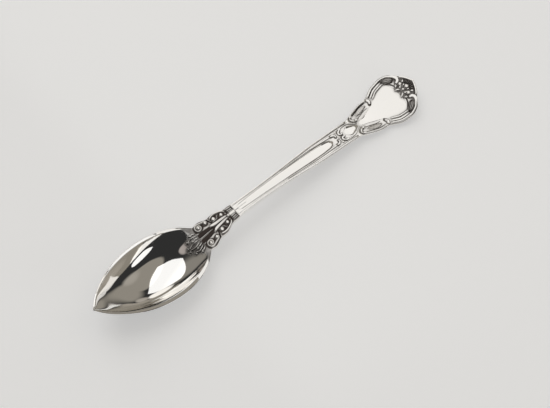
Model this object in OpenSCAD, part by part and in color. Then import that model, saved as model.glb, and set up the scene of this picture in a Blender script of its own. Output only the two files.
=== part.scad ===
// Grapefruit spoon in sterling silver, struck with scrolled ornament. It has a deep
// pointed bowl, a scrolled neck, a ribbed stem and a shield-shaped handle end with a
// flower crest. It lies bowl up on a table: +X runs from the point of the bowl to the
// handle end, +Z is up, and the origin is on the table under the middle of its length.

/* [Lengths] */
// Length of the bowl, from its point to the neck
bowl_l = 46; // [38:0.5:56]
// Length of the scrolled neck
neck_l = 15.5; // [13:0.5:20]
// Length of the stem, from the neck to the knot
stem_l = 48.5; // [38:0.5:70]
// Length of the handle's head, from the knot to its tip
head_l = 36; // [31:0.5:46]

/* [Widths] */
// Width of the bowl at its widest place
bowl_w = 26; // [20:0.5:34]
// Width of the neck across its lower scrolls
neck_w = 11.2; // [10:0.2:14]
// Width of the stem at its narrowest place
stem_w = 5.4; // [4.8:0.1:7]
// Width of the handle at the knot
knot_w = 8.3; // [7.6:0.1:10]
// Width of the handle's head across its shoulders
head_w = 19.5; // [17:0.5:26]

/* [Heights] */
// Height of the bowl's point above the table
tip_h = 14; // [10:0.5:18]
// Height of the rim where the bowl meets the neck
heel_h = 6.2; // [5:0.1:8]
// Height of the top face where the neck meets the stem
neck_h = 8.9; // [7.5:0.1:11]
// Height of the top face at the knot
knot_h = 4.5; // [3.6:0.1:6]
// Height of the top face at the handle's tip
end_h = 5.7; // [4:0.1:8]

/* [Thicknesses] */
// Wall of the bowl at its deepest place
bowl_wall = 1; // [0.7:0.05:1.4]
// Width of the bowl's bright rim
rim_w = 0.75; // [0.5:0.05:1.1]
// Thickness of the bowl's rim at its edge
rim_t = 0.6; // [0.4:0.05:0.9]
// Thickness of the silver where the bowl meets the neck
heel_t = 2.4; // [2:0.1:3]
// Thickness of the stem where it leaves the neck
stem_t = 3; // [2.4:0.1:3.8]
// Thickness of the handle at the knot
knot_t = 2; // [1.6:0.1:2.6]
// Thickness of the head where it rests on the table
head_t = 1.8; // [1.4:0.1:2.4]
// Thickness of the handle's tip
end_t = 1.3; // [1:0.1:1.8]
// Depth of the small flat that is worn on the underside of the bowl
flat_depth = 0.12; // [0.08:0.01:0.2]

/* [Struck ornament] */
// Width of a scroll's ridge on the neck
scroll_w = 0.62; // [0.5:0.02:0.7]
// Height of the scrolls above the silver that they lie on
scroll_h = 0.6; // [0.3:0.05:0.9]
// Radius of the large volute of each lower neck scroll
volute_r = 1.4; // [1.15:0.05:1.5]
// Radius of the curls on the handle
curl_r = 0.78; // [0.7:0.02:0.84]
// Width of the ribs along the edges of the handle
rib_w = 0.62; // [0.5:0.02:0.68]
// Height of the ribs along the handle
rib_h = 0.35; // [0.2:0.05:0.6]
// Width of the tongue panel on the stem at its broadest place
tongue_w = 4; // [3.6:0.1:4.3]
// Height of the crown of the tongue panel
tongue_h = 0.45; // [0.25:0.05:0.7]
// Width of the groove between neighbouring ribs and panels
groove_w = 0.22; // [0.15:0.01:0.26]
// Width of the hatched leaf under each side scroll
side_leaf_w = 2; // [1.5:0.1:2.3]
// Width of the inner moulding on the shoulders of the head
moulding_w = 0.9; // [0.6:0.05:1]
// Height of the crown of the plain shield panel
shield_h = 0.25; // [0.15:0.05:0.4]
// Height of the flower, leaves and shells of the crest
crest_h = 0.8; // [0.5:0.05:1]
// Radius of the flower on the crest
flower_r = 1.35; // [1.1:0.05:1.45]
// Number of petals of the flower
petals = 5; // [5:1:6]
// Number of flutes of the fan behind the flower
flutes = 9; // [7:1:11]
// Height of the leaf spray in the heel of the bowl
spray_h = 0.55; // [0.3:0.05:0.8]

/* [Hidden] */

// Colours of bright silver, of shaded silver in the relief and of darkened recesses
BRIGHT = [0.86, 0.86, 0.85];
SHADED = [0.72, 0.71, 0.69];
DARK = [0.5, 0.49, 0.47];

// Places along the spoon, measured from the point of the bowl
neck_start = bowl_l;
stem_start = neck_start + neck_l;
knot_at = stem_start + stem_l;
spoon_l = knot_at + head_l;
function bowl_at(share) = share * bowl_l;
function neck_at(share) = neck_start + share * neck_l;
function stem_at(share) = stem_start + share * stem_l;
function head_at(share) = knot_at + share * head_l;

// Where the underside of the bowl and of the head touch the table
bowl_rest_share = 0.58;
head_rest_share = 0.55;
bowl_rest = bowl_at(bowl_rest_share);
head_rest = head_at(head_rest_share);

// Half-width shares of the outline at shares of each stretch's length
bowl_outline_shares = [[0, 0], [0.033, 0.16], [0.087, 0.35], [0.175, 0.565], [0.28, 0.765],
    [0.39, 0.9], [0.5, 0.978], [0.61, 1], [0.72, 0.958], [0.83, 0.85], [0.92, 0.69]];
neck_outline_shares = [[0, 1.04], [0.04, 0.95], [0.16, 1], [0.39, 0.79], [0.54, 0.8]];
neck_end_outline_shares = [[0.81, 1.12], [0.9, 1.12], [1, 1.04]];
stem_swell_shares = [[0.175, 0], [0.38, 0.16], [0.59, 0.55], [0.79, 0.93], [1, 1]];
head_outline_shares = [[0.167, 0.43], [0.306, 0.575], [0.417, 0.687], [0.49, 0.7],
    [0.54, 0.775], [0.64, 0.95], [0.75, 1], [0.833, 0.905], [0.89, 0.665], [0.905, 0.59],
    [0.944, 0.435], [0.98, 0.2], [1, 0]];
// Share of the way from the heel's height to the point's height along the rim
rim_rise_shares = [[0, 1], [0.26, 0.59], [0.54, 0.28], [0.83, 0.08], [1, 0]];

// Power of the curve across the underside, and of the two slopes along the bowl
belly_power = 2.2;
point_power = 2.3;
heel_power = 2;
// Where the floor of the bowl starts to rise to the heel, and where it reaches the rim
floor_rise_share = 0.76;
floor_end_share = 0.99;
// Thickness at the edge as shares of the middle, along the handle
neck_edge_share = 0.5;
stem_edge_share = 0.5;
head_edge_share = 0.55;
// The broken corner along the top edge of the handle, as a share of its edge
corner_share = 0.18;
corner = corner_share * head_edge_share * head_t;
// Clearance under each piece of ornament, and under the leaves on the curved floor
relief_gap = 0.03;
spray_gap = 0.09;

// Cross-sections of the ornament, from its left edge to its right: [side, height] shares
round_shares = [[1, 0], [0.8, 0.5], [0.45, 0.88], [0, 1], [-0.45, 0.88], [-0.8, 0.5], [-1, 0]];
panel_shares = [[1, 0], [0.92, 0.55], [0.6, 0.86], [0, 1], [-0.6, 0.86], [-0.92, 0.55], [-1, 0]];
fluted_shares = [[1, 0], [0.85, 0.6], [0.62, 0.45], [0.35, 0.9], [0.1, 0.6], [-0.15, 1],
    [-0.4, 0.6], [-0.62, 0.85], [-0.82, 0.5], [-1, 0]];
// Share of a curl's radius that is left for its eye
eye_share = 0.3;
// Steps in each turn of a curl
curl_steps = 14;

// Smooth curve through points [place, value] that never overshoots them
function secant(p, i) = (p[i + 1][1] - p[i][1]) / (p[i + 1][0] - p[i][0]);
function slope_at(p, i) =
    i == 0 ? secant(p, 0)
    : i == len(p) - 1 ? secant(p, i - 1)
    : secant(p, i - 1) * secant(p, i) <= 0 ? 0
    : 2 * secant(p, i - 1) * secant(p, i) / (secant(p, i - 1) + secant(p, i));
function span_of(p, at) = max([for (k = [0:len(p) - 2]) if (k == 0 || at >= p[k][0]) k]);
function along(p, at) =
    let (i = span_of(p, at),
         run = p[i + 1][0] - p[i][0],
         t = min(1, max(0, (at - p[i][0]) / run)))
    p[i][1] * (1 + 2 * t) * (1 - t) * (1 - t) + slope_at(p, i) * run * t * (1 - t) * (1 - t)
    + p[i + 1][1] * t * t * (3 - 2 * t) + slope_at(p, i + 1) * run * t * t * (t - 1);

function unit(v) = v / norm(v);
function mix(a, b, share) = a + (b - a) * share;

// Half-width of the spoon's outline
outline_points = concat(
    [for (q = bowl_outline_shares) [bowl_at(q[0]), q[1] * bowl_w / 2]],
    [for (q = neck_outline_shares) [neck_at(q[0]), q[1] * neck_w / 2]],
    [for (q = neck_end_outline_shares) [neck_at(q[0]), q[1] * stem_w / 2]],
    [for (q = stem_swell_shares) [stem_at(q[0]), mix(stem_w, knot_w, q[1]) / 2]],
    [for (q = head_outline_shares) [head_at(q[0]), q[1] * head_w / 2]]);
function half_w(s) = along(outline_points, s);

// Underside of the handle along its middle, which touches the table once
under_points = [[neck_start, heel_h - heel_t], [stem_start, neck_h - stem_t],
    [knot_at, knot_h - knot_t], [head_rest, 0], [spoon_l, end_h - end_t]];
thick_points = [[neck_start, heel_t], [stem_start, stem_t], [knot_at, knot_t],
    [head_rest, head_t], [spoon_l, end_t]];
edge_points = [[0, rim_t], [bowl_at(floor_rise_share), rim_t], [neck_start, neck_edge_share * heel_t],
    [stem_start, stem_edge_share * stem_t], [knot_at, head_edge_share * knot_t],
    [spoon_l, head_edge_share * end_t]];

// Height of the rim of the bowl
rim_points = [for (q = rim_rise_shares) [bowl_at(q[0]), mix(heel_h, tip_h, q[1])]];

// Lowest line of the bowl before its flat is worn
function bowl_under(s) = s < bowl_rest
    ? (tip_h - rim_t + flat_depth) * pow(1 - s / bowl_rest, point_power) - flat_depth
    : (heel_h - heel_t + flat_depth) * pow((s - bowl_rest) / (bowl_l - bowl_rest), heel_power)
        - flat_depth;

// Height of the top face, thickness in the middle and thickness at the edge
function top_z(s) = s < bowl_l ? along(rim_points, s) : along(under_points, s) + along(thick_points, s);
function thick(s) = s < bowl_l ? top_z(s) - bowl_under(s) : along(thick_points, s);
function edge_t(s) = min(along(edge_points, s), thick(s));

// Height of the underside at a share of the half-width
function under_z(s, share) =
    top_z(s) - edge_t(s) - (thick(s) - edge_t(s)) * (1 - pow(abs(share), belly_power));

// Slope of the outline, and a point at a distance inside it
slope_run = bowl_l / 1000;
function outline_slope(s) = (half_w(s + slope_run) - half_w(s - slope_run)) / (2 * slope_run);
function inside(s, inset) =
    let (k = outline_slope(s), stretch = sqrt(1 + k * k))
    [s + inset * k / stretch, half_w(s) - inset / stretch];

// Depth of the bowl's hollow along its middle, and half of its width
function hollow_depth(s) =
    let (full = thick(s) * thick(s) / (thick(s) + bowl_wall),
         rise = (s - bowl_at(floor_rise_share)) / bowl_at(floor_end_share - floor_rise_share))
    rise <= 0 ? full : rise >= 1 ? 0 : full * sqrt(1 - rise * rise);
hollow_least_share = 0.3;
function hollow_half_w(s) =
    max(hollow_least_share * half_w(s),
        half_w(s) - rim_w * sqrt(1 + outline_slope(s) * outline_slope(s)));
function hollow_z(s, y) =
    top_z(s) - hollow_depth(s) * (1 - pow(min(1, abs(y) / hollow_half_w(s)), belly_power));

// Ground that the ornament lies on: the top face of the handle, or the floor of the bowl
handle_ground = function (p) top_z(p.x);
bowl_ground = function (p) hollow_z(p.x, p.y);

// Point of the model from a place along the spoon, a side and a height
function place(s, y, z) = [s - spoon_l / 2, y, z];

// Closed skin through rings of points, with a flat end or a single point at the far end
module loft(rings, last_tip = undef, first_tip = undef) {
    n = len(rings[0]);
    m = len(rings);
    first_i = m * n;
    last_i = first_i + (is_undef(first_tip) ? 0 : 1);
    tips = [for (tip = [first_tip, last_tip]) if (!is_undef(tip)) tip];
    sides = [for (i = [0:m - 2], j = [0:n - 1])
        let (a = i * n + j, b = i * n + (j + 1) % n)
        each [[a, b + n, b], [a, a + n, b + n]]];
    first_cap = is_undef(first_tip)
        ? [[for (j = [0:n - 1]) j]]
        : [for (j = [0:n - 1]) [first_i, j, (j + 1) % n]];
    last_cap = is_undef(last_tip)
        ? [[for (j = [n:-1:1]) (m - 1) * n + j % n]]
        : [for (j = [0:n - 1]) [last_i, (m - 1) * n + (j + 1) % n, (m - 1) * n + j]];
    polyhedron(concat([for (ring = rings) each ring], tips), concat(sides, first_cap, last_cap));
}

// Raised ornament that follows a path over its ground. Breadth and height are functions
// of the share of the path, and the section is a list of [side, height] shares.
module relief(path, breadth, height, section = round_shares, ground = handle_ground, gap = relief_gap) {
    last = len(path) - 1;
    loft([for (i = [0:last])
        let (t = i / last,
             ahead = unit(path[min(i + 1, last)] - path[max(i - 1, 0)]),
             left = [-ahead.y, ahead.x],
             half = breadth(t) / 2)
        concat(
            [place(path[i].x, path[i].y, ground(path[i]) + gap)],
            [for (q = section)
                let (p = path[i] + left * q[0] * half)
                place(p.x, p.y, ground(p) + gap + q[1] * height(t))])]);
}

// Share that falls off to a small end at both ends of a path, or only at its last end
end_share = 0.35;
function both_ends(t, run) =
    end_share + (1 - end_share) * sin(90 * min(1, t / run, (1 - t) / run));
function last_end(t, run) = end_share + (1 - end_share) * sin(90 * min(1, (1 - t) / run));

// Path through a few points, rounded between them
function smooth(p, steps) = [for (i = [0:len(p) - 2], k = [0:steps - 1])
    let (a = p[max(i - 1, 0)], b = p[i], c = p[i + 1], d = p[min(i + 2, len(p) - 1)], t = k / steps)
    b + t / 2 * (c - a + t * (2 * a - 5 * b + 4 * c - d + t * (3 * (b - c) + d - a))),
    p[len(p) - 1]];

// Path with a curl at either end, both turning to the right of its way
function curled(back, first_r, first_turns, last_r, last_turns) =
    let (last = len(back) - 1,
         go = unit(back[1] - back[0]),
         stop = unit(back[last] - back[last - 1]),
         first_c = back[0] - first_r * [-go.y, go.x],
         last_c = back[last] - last_r * [-stop.y, stop.x],
         first_a = atan2(go.x, -go.y),
         last_a = atan2(stop.x, -stop.y),
         first_n = ceil(curl_steps * first_turns),
         last_n = ceil(curl_steps * last_turns))
    concat(
        first_r == 0 ? [] : [for (i = [first_n:-1:1])
            let (t = i / first_n, a = first_a + 360 * first_turns * t)
            first_c + mix(first_r, eye_share * first_r, t) * [cos(a), sin(a)]],
        back,
        last_r == 0 ? [] : [for (i = [1:last_n])
            let (t = i / last_n, a = last_a - 360 * last_turns * t)
            last_c + mix(last_r, eye_share * last_r, t) * [cos(a), sin(a)]]);

// Points on the bowl, neck or head from shares of its length and of the half-width there
function on_bowl(q) = [bowl_at(q[0]), q[1] * half_w(bowl_at(q[0]))];
function on_neck(q) = [neck_at(q[0]), q[1] * half_w(neck_at(q[0]))];
function on_head(q) = [head_at(q[0]), q[1] * half_w(head_at(q[0]))];

// Stretch of the handle between two places, with a flat top and a rounded underside
belly_steps = 8;
function handle_ring(s) =
    let (w = half_w(s), z = top_z(s), c = min(corner, w / 2))
    concat(
        [place(s, w - c, z), place(s, c - w, z), place(s, -w, z - c)],
        [for (i = [0:belly_steps]) let (g = 2 * i / belly_steps - 1) place(s, w * g, under_z(s, g))],
        [place(s, w, z - c)]);
module handle_stretch(from, to, steps) {
    loft([for (i = [0:steps]) handle_ring(mix(from, to, i / steps))]);
}

// Share of the half-width out to which the underside is worn flat at a place
flat_least_share = 0.05;
function flat_share(s) = bowl_under(s) < 0
    ? max(flat_least_share, pow(-bowl_under(s) / (thick(s) - edge_t(s)), 1 / belly_power))
    : flat_least_share;

// Deep pointed shell with a bright rim, a rising floor at its heel and a worn flat
bowl_rings = 34;
floor_steps = 14;
wall_steps = 8;
first_ring_share = 0.012;
ring_sweep = 120;
function bowl_ring(s) =
    let (w = half_w(s), inner_w = hollow_half_w(s), z = top_z(s), flat = flat_share(s),
         wall = [for (j = [0:wall_steps - 1])
            let (g = mix(flat, 1, j / (wall_steps - 1))) [w * g, max(0, under_z(s, g))]])
    concat(
        [for (j = [0:floor_steps]) let (y = inner_w * (1 - 2 * j / floor_steps)) place(s, y, hollow_z(s, y))],
        [place(s, -w, z)],
        [for (j = [wall_steps - 1:-1:0]) place(s, -wall[j][0], wall[j][1])],
        [for (q = wall) place(s, q[0], q[1])],
        [place(s, w, z)]);
module bowl() {
    color(BRIGHT)
    loft(
        [for (i = [0:bowl_rings])
            let (t = i / bowl_rings)
            bowl_ring(bowl_at(mix(first_ring_share, 1, (1 - cos(ring_sweep * t)) / (1 - cos(ring_sweep)))))],
        first_tip = place(0, 0, tip_h - rim_t / 2), last_tip = place(bowl_l, 0, heel_h - heel_t / 2));
}

// Leaves that spread from the heel down into the bowl, [length share, side share] each
spray_w_share = 0.28;
spray_leaves_shares = [
    [[0.975, 0], [0.94, 0], [0.885, 0]],
    [[0.975, 0.25], [0.95, 0.26], [0.92, 0.25], [0.895, 0.2]],
    [[0.975, 0.53], [0.95, 0.52], [0.925, 0.45]]];
spray_w = spray_w_share * neck_w / 2;
module spray_leaf(leaf) {
    relief(smooth([for (q = leaf) on_bowl(q)], 4),
        function (t) spray_w * both_ends(t, 0.6), function (t) spray_h * both_ends(t, 0.5),
        round_shares, bowl_ground, spray_gap);
}
module bowl_leaf_spray() {
    color(SHADED) {
        for (leaf = spray_leaves_shares) spray_leaf(leaf);
        for (i = [1:2]) mirror([0, 1, 0]) spray_leaf(spray_leaves_shares[i]);
    }
}

// Neck plate, with its bulges for the two pairs of scrolls
neck_rings = 20;
module neck() {
    color(SHADED) handle_stretch(neck_start, stem_start, neck_rings);
}

// Ridges beside the hollow centre of the neck, closing to a narrow groove
ridge_shares = [[0.03, 0.24], [0.22, 0.235], [0.4, 0.215], [0.56, 0.15], [0.76, 0.15]];
ridge_w_share = 0.8;
module neck_ridge_left() {
    color(BRIGHT) relief(smooth([for (q = ridge_shares) on_neck(q)], 4),
        function (t) ridge_w_share * scroll_w * both_ends(t, 0.2),
        function (t) scroll_h * mix(1, 0.7, t));
}
module neck_ridge_right() {
    mirror([0, 1, 0]) neck_ridge_left();
}

// Bead where the two ridges meet
bead_steps = 8;
bead_end_share = 0.15;
bead_r_share = 0.17;
bead_place_share = 0.805;
module bead(at, r, height) {
    relief([for (i = [0:bead_steps]) at + [-r * cos(180 * i / bead_steps), 0]],
        function (t) 2 * r * max(bead_end_share, sin(180 * t)),
        function (t) height * max(bead_end_share, sin(180 * t)));
}
module neck_bead() {
    color(BRIGHT) bead([neck_at(bead_place_share), 0], bead_r_share * stem_w / 2, scroll_h);
}

// Large lower volute beside the bowl, with a small hook at its other end
lower_volute_share = [0.15, 0.87];
lower_hook_share = [0.315, 0.84];
hook_r_share = 0.45;
volute_turns = 1.35;
hook_turns = 0.55;
module neck_lower_scroll_left() {
    start = on_neck(lower_volute_share);
    stop = on_neck(lower_hook_share);
    color(SHADED) relief(
        curled(smooth([start, mix(start, stop, 0.5), stop], 3),
            volute_r, volute_turns, hook_r_share * volute_r, hook_turns),
        function (t) scroll_w * both_ends(t, 0.15), function (t) scroll_h * both_ends(t, 0.2));
}
module neck_lower_scroll_right() {
    mirror([0, 1, 0]) neck_lower_scroll_left();
}

// Slim upper scroll with a curl at both ends
upper_scroll_shares = [[0.5, 0.87], [0.58, 0.88], [0.68, 0.86], [0.745, 0.86]];
upper_curl_shares = [0.47, 0.38];
upper_turns = 0.85;
upper_w_share = 0.85;
module neck_upper_scroll_left() {
    color(SHADED) relief(
        curled(smooth([for (q = upper_scroll_shares) on_neck(q)], 4),
            upper_curl_shares[0] * volute_r, upper_turns, upper_curl_shares[1] * volute_r, upper_turns),
        function (t) upper_w_share * scroll_w * both_ends(t, 0.15),
        function (t) scroll_h * both_ends(t, 0.2));
}
module neck_upper_scroll_right() {
    mirror([0, 1, 0]) neck_upper_scroll_left();
}

// Fluted husk leaf on each shoulder of the stem
husk_shares = [[0.845, 0.46], [0.89, 0.48], [0.95, 0.5], [0.995, 0.5]];
husk_w_share = 0.62;
module shoulder_husk_left() {
    color(SHADED) relief(smooth([for (q = husk_shares) on_neck(q)], 3),
        function (t) husk_w_share * stem_w / 2 * mix(0.8, 1, t), function (t) rib_h * mix(1.3, 1, t),
        fluted_shares);
}
module shoulder_husk_right() {
    mirror([0, 1, 0]) shoulder_husk_left();
}

// Stem plate
stem_rings = 26;
module stem() {
    color(BRIGHT) handle_stretch(stem_start, knot_at, stem_rings);
}

// Crowned tongue panel with a round end towards the knot
tongue_shares = [[0, 0.5], [0.1, 0.6], [0.3, 0.73], [0.6, 0.9], [0.84, 1], [0.93, 0.9],
    [0.975, 0.62], [1, 0.15]];
tongue_start_share = 0.03;
tongue_end_share = 0.935;
tongue_rings = 28;
module stem_tongue_panel() {
    color(BRIGHT) relief(
        [for (i = [0:tongue_rings])
            [stem_at(mix(tongue_start_share, tongue_end_share, sin(90 * i / tongue_rings))), 0]],
        function (t) tongue_w * along(tongue_shares, sin(90 * t)),
        function (t) tongue_h * mix(0.6, 1, t) * last_end(t, 0.2), panel_shares);
}

// Bright rib along each edge of the stem, up to the side scroll
edge_rib_inset_share = 0.75;
edge_rib_start_share = 0.012;
edge_rib_end_share = 0.17;
edge_rib_steps = 30;
module stem_edge_rib_left() {
    color(BRIGHT) relief(
        [for (i = [0:edge_rib_steps])
            inside(mix(stem_at(edge_rib_start_share), head_at(edge_rib_end_share), i / edge_rib_steps),
                edge_rib_inset_share * rib_w)],
        function (t) rib_w * both_ends(t, 0.03), function (t) rib_h * both_ends(t, 0.03));
}
module stem_edge_rib_right() {
    mirror([0, 1, 0]) stem_edge_rib_left();
}

// Thin rib beside the tongue panel, which ends in a curl at the knot
frame_w_share = 0.62;
frame_w = frame_w_share * rib_w;
frame_span_shares = [0.48, 0.86];
frame_end_shares = [0.945, 0.968];
frame_curl_share = 0.62;
frame_turns = 0.8;
frame_curl_r = frame_curl_share * curl_r;
frame_steps = 12;
module tongue_frame_left() {
    alongside = [for (i = [0:frame_steps])
        let (t = mix(frame_span_shares[0], frame_span_shares[1], i / frame_steps))
        [stem_at(mix(tongue_start_share, tongue_end_share, t)),
            tongue_w / 2 * along(tongue_shares, t) + groove_w + frame_w / 2]];
    color(BRIGHT) relief(
        curled(concat(alongside, [for (i = [0:1])
                [stem_at(frame_end_shares[i]), alongside[frame_steps].y - i * groove_w]]),
            0, 0, frame_curl_r, frame_turns),
        function (t) frame_w * both_ends(t, 0.1), function (t) rib_h * both_ends(t, 0.1));
}
module tongue_frame_right() {
    mirror([0, 1, 0]) tongue_frame_left();
}

// Beads of the knot: one in the middle and one on each side
knot_bead_share = 0.11;
knot_bead_side_share = 0.56;
module knot_beads() {
    color(BRIGHT)
    for (side = [-1, 0, 1])
        bead([knot_at, side * knot_bead_side_share * knot_w / 2], knot_bead_share * knot_w / 2, rib_h);
}

// Small crowned oval panel beyond the knot
oval_shares = [[0, 0.15], [0.12, 0.62], [0.35, 1], [0.7, 0.7], [1, 0.15]];
oval_start_share = 0.075;
oval_end_share = 0.24;
oval_w_share = 0.3;
oval_rings = 14;
module oval_panel() {
    color(BRIGHT) relief(
        [for (i = [0:oval_rings]) [head_at(mix(oval_start_share, oval_end_share, i / oval_rings)), 0]],
        function (t) oval_w_share * knot_w * along(oval_shares, t),
        function (t) rib_h * both_ends(t, 0.25), panel_shares);
}

// Rib around the oval panel, which starts in a curl at the knot
oval_frame_shares = [[0.055, 0.62], [0.11, 0.6], [0.165, 0.48], [0.21, 0.28], [0.245, 0.15]];
module oval_frame_left() {
    color(BRIGHT) relief(
        curled(smooth([for (q = oval_frame_shares) on_head(q)], 4), frame_curl_r, frame_turns, 0, 0),
        function (t) frame_w * both_ends(t, 0.1), function (t) rib_h * both_ends(t, 0.1));
}
module oval_frame_right() {
    mirror([0, 1, 0]) oval_frame_left();
}

// Head plate, with its waist, shoulders and crest lobe
head_rings = 44;
module handle_head() {
    color(BRIGHT) loft(
        [for (i = [0:head_rings - 1]) handle_ring(head_at(sin(90 * i / head_rings)))],
        last_tip = place(spoon_l, 0, top_z(spoon_l) - edge_t(spoon_l) / 2));
}

// Plain polished shield in the middle of the head
shield_shares = [[0.27, 0.12], [0.32, 0.22], [0.4, 0.33], [0.49, 0.48], [0.56, 0.6], [0.64, 0.67],
    [0.71, 0.69], [0.76, 0.62], [0.79, 0.42], [0.8, 0.2]];
shield_rings = 30;
module shield_panel() {
    from = shield_shares[0][0];
    to = shield_shares[len(shield_shares) - 1][0];
    color(BRIGHT) relief(
        [for (i = [0:shield_rings]) [head_at(mix(from, to, i / shield_rings)), 0]],
        function (t) let (a = mix(from, to, t)) 2 * along(shield_shares, a) * half_w(head_at(a)),
        function (t) shield_h * both_ends(t, 0.15), panel_shares);
}

// Long side scroll along the waist of the head, with a curl at both ends
side_inset_share = 0.75;
side_end_curl_share = 1.12;
side_scroll_span_shares = [0.225, 0.49];
side_steps = 12;
side_turns = 0.92;
module side_scroll_left() {
    back = [for (i = [0:side_steps])
        inside(head_at(mix(side_scroll_span_shares[0], side_scroll_span_shares[1], i / side_steps)),
            side_inset_share * rib_w)];
    color(BRIGHT) relief(curled(back, curl_r, side_turns, side_end_curl_share * curl_r, side_turns),
        function (t) rib_w * both_ends(t, 0.12), function (t) scroll_h * both_ends(t, 0.15));
}
module side_scroll_right() {
    mirror([0, 1, 0]) side_scroll_left();
}

// Hatched leaf under the side scroll, parallel to it and between its two curls
side_leaf_span_shares = [0.285, 0.44];
side_leaf_steps = 28;
hatch_count = 7;
hatch_share = 0.22;
module side_leaf_left() {
    inset = (side_inset_share + 0.5) * rib_w + groove_w + side_leaf_w / 2;
    color(SHADED) relief(
        [for (i = [0:side_leaf_steps])
            inside(head_at(mix(side_leaf_span_shares[0], side_leaf_span_shares[1], i / side_leaf_steps)),
                inset)],
        function (t) side_leaf_w * both_ends(t, 0.5),
        function (t) rib_h * (1 + hatch_share * cos(360 * hatch_count * t)) * both_ends(t, 0.2));
}
module side_leaf_right() {
    mirror([0, 1, 0]) side_leaf_left();
}

// Border of the head over its shoulder, which ends in a tip that turns in beside the crest
border_w_share = 1.15;
border_w = border_w_share * rib_w;
border_inset_share = 0.8;
border_span_shares = [0.54, 0.865];
border_tip_shares = [[0.886, 0.83], [0.886, 0.71], [0.872, 0.56]];
border_steps = 22;
module head_border_left() {
    over = [for (i = [0:border_steps])
        inside(head_at(mix(border_span_shares[0], border_span_shares[1], i / border_steps)),
            border_inset_share * rib_w)];
    tip = concat([over[border_steps]], [for (q = border_tip_shares) on_head(q)]);
    color(BRIGHT) relief(concat([for (i = [0:border_steps - 1]) over[i]], smooth(tip, 4)),
        function (t) border_w * both_ends(t, 0.08), function (t) scroll_h * both_ends(t, 0.12));
}
module head_border_right() {
    mirror([0, 1, 0]) head_border_left();
}

// Moulding inside the border
moulding_span_shares = [0.56, 0.765];
moulding_steps = 16;
module head_moulding_left() {
    color(BRIGHT) relief(
        [for (i = [0:moulding_steps])
            inside(head_at(mix(moulding_span_shares[0], moulding_span_shares[1], i / moulding_steps)),
                border_inset_share * rib_w + border_w / 2 + groove_w + moulding_w / 2)],
        function (t) moulding_w * both_ends(t, 0.15), function (t) rib_h * both_ends(t, 0.15));
}
module head_moulding_right() {
    mirror([0, 1, 0]) head_moulding_left();
}

// Fluted shell in the hollow of each shoulder
shell_shares = [[0.787, 0.77], [0.815, 0.725], [0.838, 0.68], [0.846, 0.6]];
shell_w_share = 2.3;
shell_h_share = 0.6;
module shoulder_shell_left() {
    color(DARK) relief(smooth([for (q = shell_shares) on_head(q)], 6),
        function (t) shell_w_share * curl_r * both_ends(t, 0.5),
        function (t) shell_h_share * crest_h * both_ends(t, 0.3), fluted_shares);
}
module shoulder_shell_right() {
    mirror([0, 1, 0]) shoulder_shell_left();
}

// Rim of the crest, around the tip of the handle
crest_rim_span_shares = [0.922, 0.984];
crest_rim_steps = 12;
module crest_rim() {
    half = [for (i = [0:crest_rim_steps])
        let (t = sin(90 * i / crest_rim_steps))
        inside(head_at(mix(crest_rim_span_shares[0], crest_rim_span_shares[1], t)),
            border_inset_share * rib_w)];
    color(BRIGHT) relief(
        concat(half, [[spoon_l - border_inset_share * rib_w, 0]],
            [for (i = [crest_rim_steps:-1:0]) [half[i].x, -half[i].y]]),
        function (t) rib_w * both_ends(t, 0.06), function (t) scroll_h * both_ends(t, 0.08));
}

// Fan of flutes behind the flower, inside the rim of the crest
flower_share = 0.866;
fan_half_angle = 58;
fan_start_share = 1.85;
fan_inset_share = 1.15;
fan_steps = 5;
fan_tip_share = 0.985;
flute_w_share = 0.8;
flute_h_shares = [0.7, 0.45];
module crest_fan() {
    heart = on_head([flower_share, 0]);
    reach = head_at(fan_tip_share) - heart.x - fan_inset_share * rib_w;
    pitch = 2 * fan_half_angle / flutes;
    color(DARK)
    for (k = [0:flutes - 1]) {
        a = (k + 0.5) * pitch - fan_half_angle;
        from = fan_start_share * flower_r;
        relief([for (i = [0:fan_steps]) heart + mix(from, reach, i / fan_steps) * [cos(a), sin(a)]],
            function (t) 2 * flute_w_share * mix(from, reach, t) * sin(pitch / 2),
            function (t) crest_h * mix(flute_h_shares[0], flute_h_shares[1], t));
    }
}

// Small flower with round petals
heart_share = 0.33;
petal_steps = 6;
petal_root_share = 1.15;
petal_w_share = 1.5;
petal_h_share = 0.8;
module crest_flower() {
    heart = on_head([flower_share, 0]);
    r = heart_share * flower_r;
    color(BRIGHT) {
        bead(heart, r, crest_h);
        for (k = [0:petals - 1]) {
            a = 360 * k / petals;
            relief([for (i = [0:petal_steps])
                    heart + mix(petal_root_share * r, flower_r, i / petal_steps) * [cos(a), sin(a)]],
                function (t) petal_w_share * r * mix(end_share, 1, sin(150 * t + 15)),
                function (t) petal_h_share * crest_h * both_ends(t, 0.4));
        }
    }
}

// Pair of leaves that curl away on each side of the flower
leaf_shares = [
    [[0.82, 0.2], [0.832, 0.29], [0.85, 0.34]],
    [[0.885, 0.33], [0.897, 0.47], [0.915, 0.66]]];
leaf_w_share = 0.55;
leaf_h_share = 0.75;
module crest_leaf_left() {
    color(SHADED)
    for (leaf = leaf_shares)
        relief(smooth([for (q = leaf) on_head(q)], 5),
            function (t) leaf_w_share * flower_r * both_ends(t, 0.5),
            function (t) leaf_h_share * crest_h * both_ends(t, 0.4));
}
module crest_leaf_right() {
    mirror([0, 1, 0]) crest_leaf_left();
}

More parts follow.
